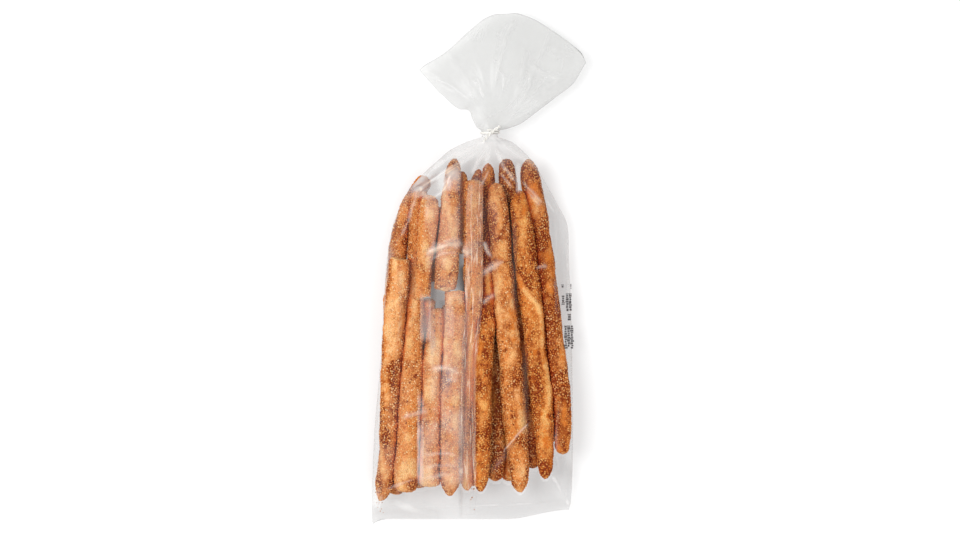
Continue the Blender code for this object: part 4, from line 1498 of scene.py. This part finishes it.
def make_fan():
    u, v = columns_across()
    turn = np.concatenate([u, v])
    share = np.linspace(0.0, 1.0, FAN_ROWS)[:, None] ** 1.15
    x, y, angle, away, half = fan_layout(turn, share)
    flat = np.stack([x.ravel(), y.ravel()], axis=1)
    rise = np.broadcast_to(np.repeat((1.0, -1.0), (len(u), len(v))), x.shape)
    on_top = rise > 0
    over, under = (pleats(angle.ravel(), away.ravel(), draw).reshape(x.shape) for draw in (53, 67))
    folded = np.where(on_top, over, under)
    loose = smoothstep(2 * MM, 12 * MM, away) * smoothstep(0.0, 0.1, 1 - np.abs(turn))
    loose = loose * (1.0 - 0.45 * smoothstep(0.6, 1.0, share))
    solid = np.column_stack([flat, rise.ravel() * MM])
    lift = FAN_PLEATS * folded * loose * smoothstep(0.0, 55 * MM, away)
    lift = lift + FAN_WAVES * loose * layered(solid, 30 * MM, 71, 2).reshape(x.shape)
    fold_lift, white = add_folds(flat, FAN_FOLDS, FAN_FOLD_HEIGHT)
    lift = lift + fold_lift.reshape(x.shape) * on_top
    middle = NECK_Z - FAN_DROP * smoothstep(0.0, 1.0, share)
    z = middle + rise * (half * np.sqrt(np.maximum(1.0 - turn**2, 0.0))) + lift
    piece = new_mesh("film_fan", np.stack([x, y, z], axis=2).reshape(-1, 3), tube_faces(FAN_ROWS))
    piece.data.shade_smooth()

    top, away = on_top.ravel(), away.ravel()
    crest = smoothstep(0.0, 0.8, folded.ravel()) * 0.05 + FAN_HAZE_TO_RIGHT * np.tile(turn, FAN_ROWS)
    _, shadowed = add_folds(flat, FAN_SHADOWS, FAN_FOLD_HEIGHT)
    # Painted shade along the fan's darker folds.
    mottled = 0.22 * shadowed * top + 0.08 * layered(solid, 14 * MM, 73, 3)
    lower = FAN_CLEARER * smoothstep(52 * MM, 24 * MM, away)
    haze = np.clip(FAN_HAZE + crest + mottled - lower, 0.0, 1.0) + 0.5 * np.exp(-away / (16 * MM))
    # Painted highlights along the fan's creases.
    add_attributes(piece, haze=haze, crease=0.35 * white * top, line=0.0, unbacked=1.0, shade=0.0)
    return piece


def film_effect():
    """Thin film: see-through where clear, whiter along creases as a painted highlight, milkier with painted
    reflection and light in places, brown along Line and darker in Shade.
    """
    values = ("Haze", "Crease", "Line", "Unbacked", "Shade", "Grazing", "Opacity")
    inputs = {label: "Float" for label in values} | {"Clear": "Color", "Milk": "Color"}
    outputs = {"Color": "Color", "Alpha": "Float", "Height": "Float"}
    g = Group("milky_film", "ShaderNodeTree", inputs, outputs)
    haze, crease, line, unbacked, shade, grazing, opacity = (g.given[label] for label in values)
    # How milky the film is, with painted reflection, light and shade, and the painted crease highlights.
    milky = g.plus(g.times(haze, 0.42), g.times(crease, 0.6))
    alpha = g.plus(g.plus(milky, grazing), g.times(unbacked, opacity), clamp=True)
    alpha = g.plus(g.plus(alpha, g.times(line, 0.3), clamp=True), shade, clamp=True)
    base = g.blend(g.spread(grazing, 0.0, 0.1), g.given["Clear"], FILM_EDGE_ON)
    base = g.blend(g.spread(milky, 0.0, 0.2), base, g.given["Milk"])
    base = g.blend(g.spread(crease, 0.05, 0.5), base, g.blend(unbacked, CREASE_OVER_BREAD, FILM_CREASE))
    base = g.blend(line, base, FILM_LINE)
    base = g.blend(g.times(shade, 1.7, clamp=True), base, FILM_IN_SHADE)
    height = g.noise(1.0, 4.0, 0.6, squeeze=(260.0, 120.0, 260.0))
    return g.done({"Color": base, "Alpha": alpha, "Height": height})


def film_finish(name, film):
    clear, milk, opacity, shine = FILM_KINDS[name]
    s = Finish(name)
    facing = s.add("ShaderNodeLayerWeight", {"Blend": 0.5}).outputs["Facing"]
    values = {label: s.attribute(label.lower()) for label in ("Haze", "Crease", "Line", "Unbacked", "Shade")}
    values |= {"Grazing": s.times(s.math("POWER", facing, 3.0), 0.4)}
    look = s.effect(film, values | {"Opacity": opacity, "Clear": clear, "Milk": milk})
    return s.done({
        "Base Color": look["Color"],
        "Alpha": look["Alpha"],
        "Roughness": FILM_ROUGHNESS,
        "IOR": FILM_BENDING,
        "Specular IOR Level": shine,
        "Normal": s.bump(look["Height"], 0.35, 0.5 * MM),
    })


# The back seam: places in the picture from the neck down to the bottom edge, and the strip's width there.
SEAM_PATH = (
    (487, 143), (480, 163), (475.5, 186), (474.5, 220), (474.5, 254), (474, 288), (472.6, 322),
    (469.4, 356), (468.6, 390), (468.5, 424), (468.5, 458), (468.3, 492), (468, 517),
)
SEAM_WIDTHS = (3.0, 7.0, 11.0, 12.0, 12.0, 12.0, 11.4, 10.8, 10.6, 10.6, 10.6, 10.6, 10.4)
SEAM_COLUMNS = 40
SEAM_STEP = 1.2 * MM
SEAM_LIFT = 0.45 * MM
SEAM_THICKNESS = 0.25 * MM


def height_at(surface, x, y):
    """The height of the body's film at each place."""
    grid_x, grid_y, grid_z = surface
    middle = grid_y[:, grid_y.shape[1] // 2]
    row = np.clip(np.searchsorted(middle, y) - 1, 0, len(middle) - 2)
    share = np.clip((y - middle[row]) / (middle[row + 1] - middle[row]), 0.0, 1.0)
    low = np.array([np.interp(a, grid_x[r], grid_z[r]) for a, r in zip(x, row)])
    high = np.array([np.interp(a, grid_x[r + 1], grid_z[r + 1]) for a, r in zip(x, row)])
    return mix(low, high, share)


def make_seam(surface):
    """The back seam: a doubled strip of film with fine lengthwise creases, laid down on the sheet."""
    centre = rounded([spot(c, BODY_FOLD_HEIGHT) for c in SEAM_PATH], SEAM_STEP)
    rows = len(centre)
    wide = through(SEAM_WIDTHS, np.linspace(0.0, 1.0, rows)) * MM
    across = np.linspace(-1.0, 1.0, SEAM_COLUMNS)
    along = np.gradient(centre, axis=0)
    along /= np.linalg.norm(along, axis=1)[:, None]
    side = np.stack([-along[:, 1], along[:, 0]], axis=1)
    edge_wave = 1.0 + 0.05 * ripple(np.column_stack([centre, centre[:, 0] * 0]), 9 * MM, 81)
    offset = across[None, :] * (wide * edge_wave / 2)[:, None]
    x, y = (centre[:, None, :] + side[:, None, :] * offset[..., None]).reshape(-1, 2).T
    under = height_at(surface, x, y) + SEAM_LIFT
    lane = np.column_stack([offset.ravel(), y * 0.035, y * 0])
    ridges = layered(lane, 1.6 * MM, 83, 3)
    from_middle = np.abs(np.tile(across, rows))
    top = under + SEAM_THICKNESS + (0.2 * MM * ridges + 0.2 * MM) * smoothstep(1.0, 0.82, from_middle)
    upper, lower = (np.stack([x, y, z], axis=1).reshape(rows, SEAM_COLUMNS, 3) for z in (top, under))
    rings = np.concatenate([upper, lower[:, ::-1]], axis=1)
    piece = new_mesh("film_seam", rings.reshape(-1, 3), closed_tube(rows, 2 * SEAM_COLUMNS))
    piece.data.shade_smooth()

    def on_top(values):
        return np.pad(values.reshape(rows, SEAM_COLUMNS), ((0, 0), (0, SEAM_COLUMNS)))

    lines = layered(lane * (1, 1.6, 1), 1.7 * MM, 87, 3)
    # Whiter fine lines and edges: painted highlights on the seam's creases.
    white = 0.55 * smoothstep(0.13, 0.0, np.abs(lines)) + 0.12 * smoothstep(0.93, 0.99, from_middle)
    dark = 0.8 * smoothstep(0.13, 0.0, np.abs(layered(lane * (1, 1.3, 1) + 7 * MM, 2.0 * MM, 89, 3)))
    over_bread = smoothstep(-157 * MM, -150 * MM, y) * smoothstep(66 * MM, 56 * MM, y)
    add_attributes(
        piece,
        haze=on_top((0.24 + 0.2 * ridges) * over_bread),
        crease=on_top(white * (1 - dark) * mix(0.25, 1.0, over_bread)),
        line=on_top(dark * mix(0.1, 1.0, over_bread)),
        unbacked=on_top(mix(1.0, CLEAR_OVER_BREAD, over_bread)),
        shade=0.0,
    )
    return piece


# Print on the side panel, as plain bars in narrow columns: each block's places in the picture, from
# (left x, top y) to (right x, bottom y), and how many columns it has.
PRINT_BLOCKS = (
    ((560.6, 284.5), (564.0, 287.5), 1), ((570.4, 284.0), (571.6, 289.0), 1), ((561.2, 295.5), (564.6, 305.0), 1),
    ((565.4, 293.5), (571.8, 311.5), 2), ((567.2, 314.0), (571.6, 319.5), 1), ((563.6, 325.5), (573.4, 347.5), 3),
)
PRINT_LONGEST = 4.0
PRINT_GAP = 0.45
PRINT_LEAN = 0.012
PRINT_HEIGHT = 14 * MM
PRINT_LIFT = 0.35 * MM
PRINT_THICKNESS = 0.12 * MM
# The bars lie no further out than this, where the wall of the bag turns down.
PRINT_EDGE = 62.5 * MM
INK = (colour(52, 50, 54), colour(104, 98, 98))


def print_bars():
    """Plain bars of uneven lengths, as (x, y, width, height) in the picture, that fill the blocks' columns."""
    for n, ((left, top), (right, bottom), columns) in enumerate(PRINT_BLOCKS):
        pitch = (right - left) / columns
        for k in range(columns):
            y = top
            turn = 0
            while y < bottom:
                uneven = ripple([(n * 7.3, k * 3.1, turn * 1.7)], 1.0, 95)[0]
                high = PRINT_LONGEST * (0.5 + 0.38 * uneven)
                wide = pitch * (0.80 + 0.20 * math.sin(5.0 * turn + 2.0 * k))
                middle = left + (k + 0.5 + 0.1 * math.sin(3.0 * turn)) * pitch
                if y + high < bottom + 1.0:
                    yield middle + PRINT_LEAN * (y - top), y + high / 2, wide, high
                y += high + PRINT_GAP
                turn += 1


def make_print(surface):
    """Small plain bars of ink on the film."""
    points, faces = [], []
    for px, py, wide, high in print_bars():
        x, y = spot((px, py), PRINT_HEIGHT)
        xs = x + np.array([-1, 1, 1, -1]) * (wide * DOT / 2)
        ys = y + np.array([-1, -1, 1, 1]) * (high * DOT / 2)
        z = height_at(surface, np.minimum(xs, PRINT_EDGE), ys) + PRINT_LIFT
        start = len(points)
        points += list(zip(xs, ys, z)) + list(zip(xs, ys, z + PRINT_THICKNESS))
        for a, b, c, d in ((3, 2, 1, 0), (4, 5, 6, 7), (0, 1, 5, 4), (1, 2, 6, 5), (2, 3, 7, 6), (3, 0, 4, 7)):
            faces.append((start + a, start + b, start + c, start + d))
    piece = new_mesh("print_bars", points, faces)
    s = Finish("print_ink")
    blotched = s.blend(s.spread(s.noise(900.0, 2.0), 0.35, 0.65), *INK)
    piece.data.materials.append(s.done({"Base Color": blotched, "Roughness": 0.6}))
    return piece


TIE_RADIUS = 0.55 * MM
TIE_LOOP = 6.4 * MM
TIE_TURNS = 2.1
TIE_START = 0.4 * math.pi
TIE_PITCH = 1.25 * MM
TIE_LOOP_POINTS = 120
TIE_TAIL_POINTS = 70
TIE_TWISTS = 2.5
TIE_STRAND = 0.5 * MM
TIE_TAIL = ((-4.6, -7.0, 10.4), (-2.6, -4.2, 8.8), (0.2, -1.0, 7.4), (3.4, 1.6, 7.6), (6.8, 3.8, 8.8))
TIE_SIDES = 10
TIE_WHITES = (colour(240, 239, 235), colour(214, 210, 202))


def swept(path, radius, sides):
    """Points and faces of a closed round tube along a path."""
    _, side, up = ways(path, (0.3, 0.2, 1.0))
    turn = np.arange(sides) / sides * 2 * math.pi
    out = side[:, None] * np.cos(turn)[None, :, None] + up[:, None] * np.sin(turn)[None, :, None]
    return (path[:, None] + out * radius).reshape(-1, 3), closed_tube(len(path), sides)


def make_tie():
    """A white covered wire: two turns round the neck, and its ends twisted together across the front."""
    turn = np.linspace(0.0, TIE_TURNS * 2 * math.pi, TIE_LOOP_POINTS) + TIE_START
    rise = (turn - turn.mean()) / (2 * math.pi)
    loops = np.stack([
        NECK_X + TIE_LOOP * np.cos(turn), NECK_Y + TIE_PITCH * rise + 0.35 * MM * np.sin(turn * 0.5),
        NECK_Z + TIE_LOOP * 0.98 * np.sin(turn),
    ], axis=1)
    where = np.linspace(0.0, 1.0, TIE_TAIL_POINTS)
    tail = np.stack([through(column, where) for column in (np.array(TIE_TAIL) * MM).T], axis=1)
    tail += (NECK_X, NECK_Y, NECK_Z)
    spin = where * TIE_TWISTS * 2 * math.pi
    points, faces = [], []
    strands = [(loops, TIE_RADIUS)]
    for phase in (0.0, math.pi):
        wound = tail + TIE_STRAND * np.stack([
            np.cos(spin + phase) * 0.7, -np.cos(spin + phase) * 0.7, np.sin(spin + phase)
        ], axis=1)
        strands.append((wound, TIE_RADIUS * 0.9))
    for path, radius in strands:
        more, joined = swept(path, radius, TIE_SIDES)
        faces += [[i + len(points) for i in face] for face in joined]
        points += more.tolist()
    piece = new_mesh("tie_wire", points, faces)
    piece.data.shade_smooth()
    s = Finish("tie_wrap")
    fibres = s.noise(1600.0)
    piece.data.materials.append(s.done({
        "Base Color": s.blend(s.spread(fibres, 0.35, 0.7), *TIE_WHITES),
        "Roughness": 0.45,
        "Normal": s.bump(fibres, 0.3, 0.2 * MM),
    }))
    return piece


# Where loose bits lie: a corner, the opposite corner, and how high.
CRUMB_PLACES = {"strip": ((-7, -170), (-3.5, -152), 5.0 * MM), "corner": ((-74, -172), (-66, -156), 6.5 * MM)}
# The loose bits: length, width, thickness, density, and the kind of seed that they look like.
LOOSE_BITS = {
    "loose_seeds": (1.8 * MM, 1.3 * MM, 0.8 * MM, 0.02e6, "seeds_gold"),
    "loose_crumbs": (0.8 * MM, 0.8 * MM, 0.7 * MM, 0.16e6, "seeds_amber"),
}
LOOSE_SPACING = 1.1 * MM
LOOSE_DRAW = 40


def scatter_ground(name, low, high, height):
    """A flat patch that loose bits are scattered over."""
    rows, columns = 12, 24
    x, y = np.meshgrid(np.linspace(low[0], high[0], columns) * MM, np.linspace(low[1], high[1], rows) * MM)
    points = np.stack([x.ravel(), y.ravel(), np.full(x.size, height)], axis=1)
    piece = new_mesh(name, points, grid_faces(rows, columns, False))
    near_bread = smoothstep(high[1] * MM - 14 * MM, high[1] * MM, points[:, 1])
    tone = 0.3 * ripple(points, 6 * MM, 91)
    add_attributes(piece, bare=0.5 - 0.5 * near_bread, covered=0.0, tone=tone, golden=USUAL_GOLDEN, deep=0.0)
    return piece


def make_loose_bits(tree):
    """Seeds and crumbs that fell off the breadsticks and lie at the bottom of the bag."""
    patches = [scatter_ground(name, *place) for name, place in CRUMB_PLACES.items()]
    ground = joined_copy("crumb_ground", patches)
    made = []
    for k, (name, (length, wide, thick, density, like)) in enumerate(LOOSE_BITS.items()):
        made.append(scattered(name, ground, tree, bpy.data.materials[like], {
            "Spacing": LOOSE_SPACING, "Density": density, "Length": length, "Width": wide, "Thickness": thick,
            "Share From": 0.0, "Share To": 1.1, "Random Seed": LOOSE_DRAW + k,
        }))
    for patch in patches + [ground]:
        bpy.data.objects.remove(patch, do_unlink=True)
    return made


# ---------------------------------------------------------------- putting it together


def keep(piece, node):
    """Attaches a piece of the object to the root body, and hides the imported node that it stands for."""
    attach(piece, "root")
    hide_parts(node)


def add_bread():
    paths = settle({name: stick_path(spec) for name, spec in STICKS.items()})
    browning, warmth, scatter = browning_effect(), warmth_effect(), seed_scatter_tree()
    crust = crust_finish(browning, warmth)
    sticks = {}
    for k, (name, spec) in enumerate(STICKS.items()):
        sticks[name] = make_stick(name, spec, paths[name], FIRST_STICK_DRAW + STICK_DRAW_STEP * k)
        sticks[name].data.materials.append(crust)
    mark_covered(sticks, paths)
    for seeds in make_seeds(list(sticks.values()), scatter, browning, warmth):
        keep(seeds, "bag")
    for stick in sticks.values():
        keep(stick, "bag")
    for bits in make_loose_bits(scatter):
        keep(bits, "bag")
    return paths


def add_film(paths):
    body, surface = make_body_film(paths)
    seam, fan = make_seam(surface), make_fan()
    film = film_effect()
    for piece, kind in ((body, "body_film"), (fan, "fan_film"), (seam, "seam_film")):
        piece.data.materials.append(film_finish(kind, film))
        keep(piece, "bag")
    keep(make_print(surface), "bag")
    keep(make_tie(), "tie")


set_up_stage()
bread_paths = add_bread()
add_film(bread_paths)
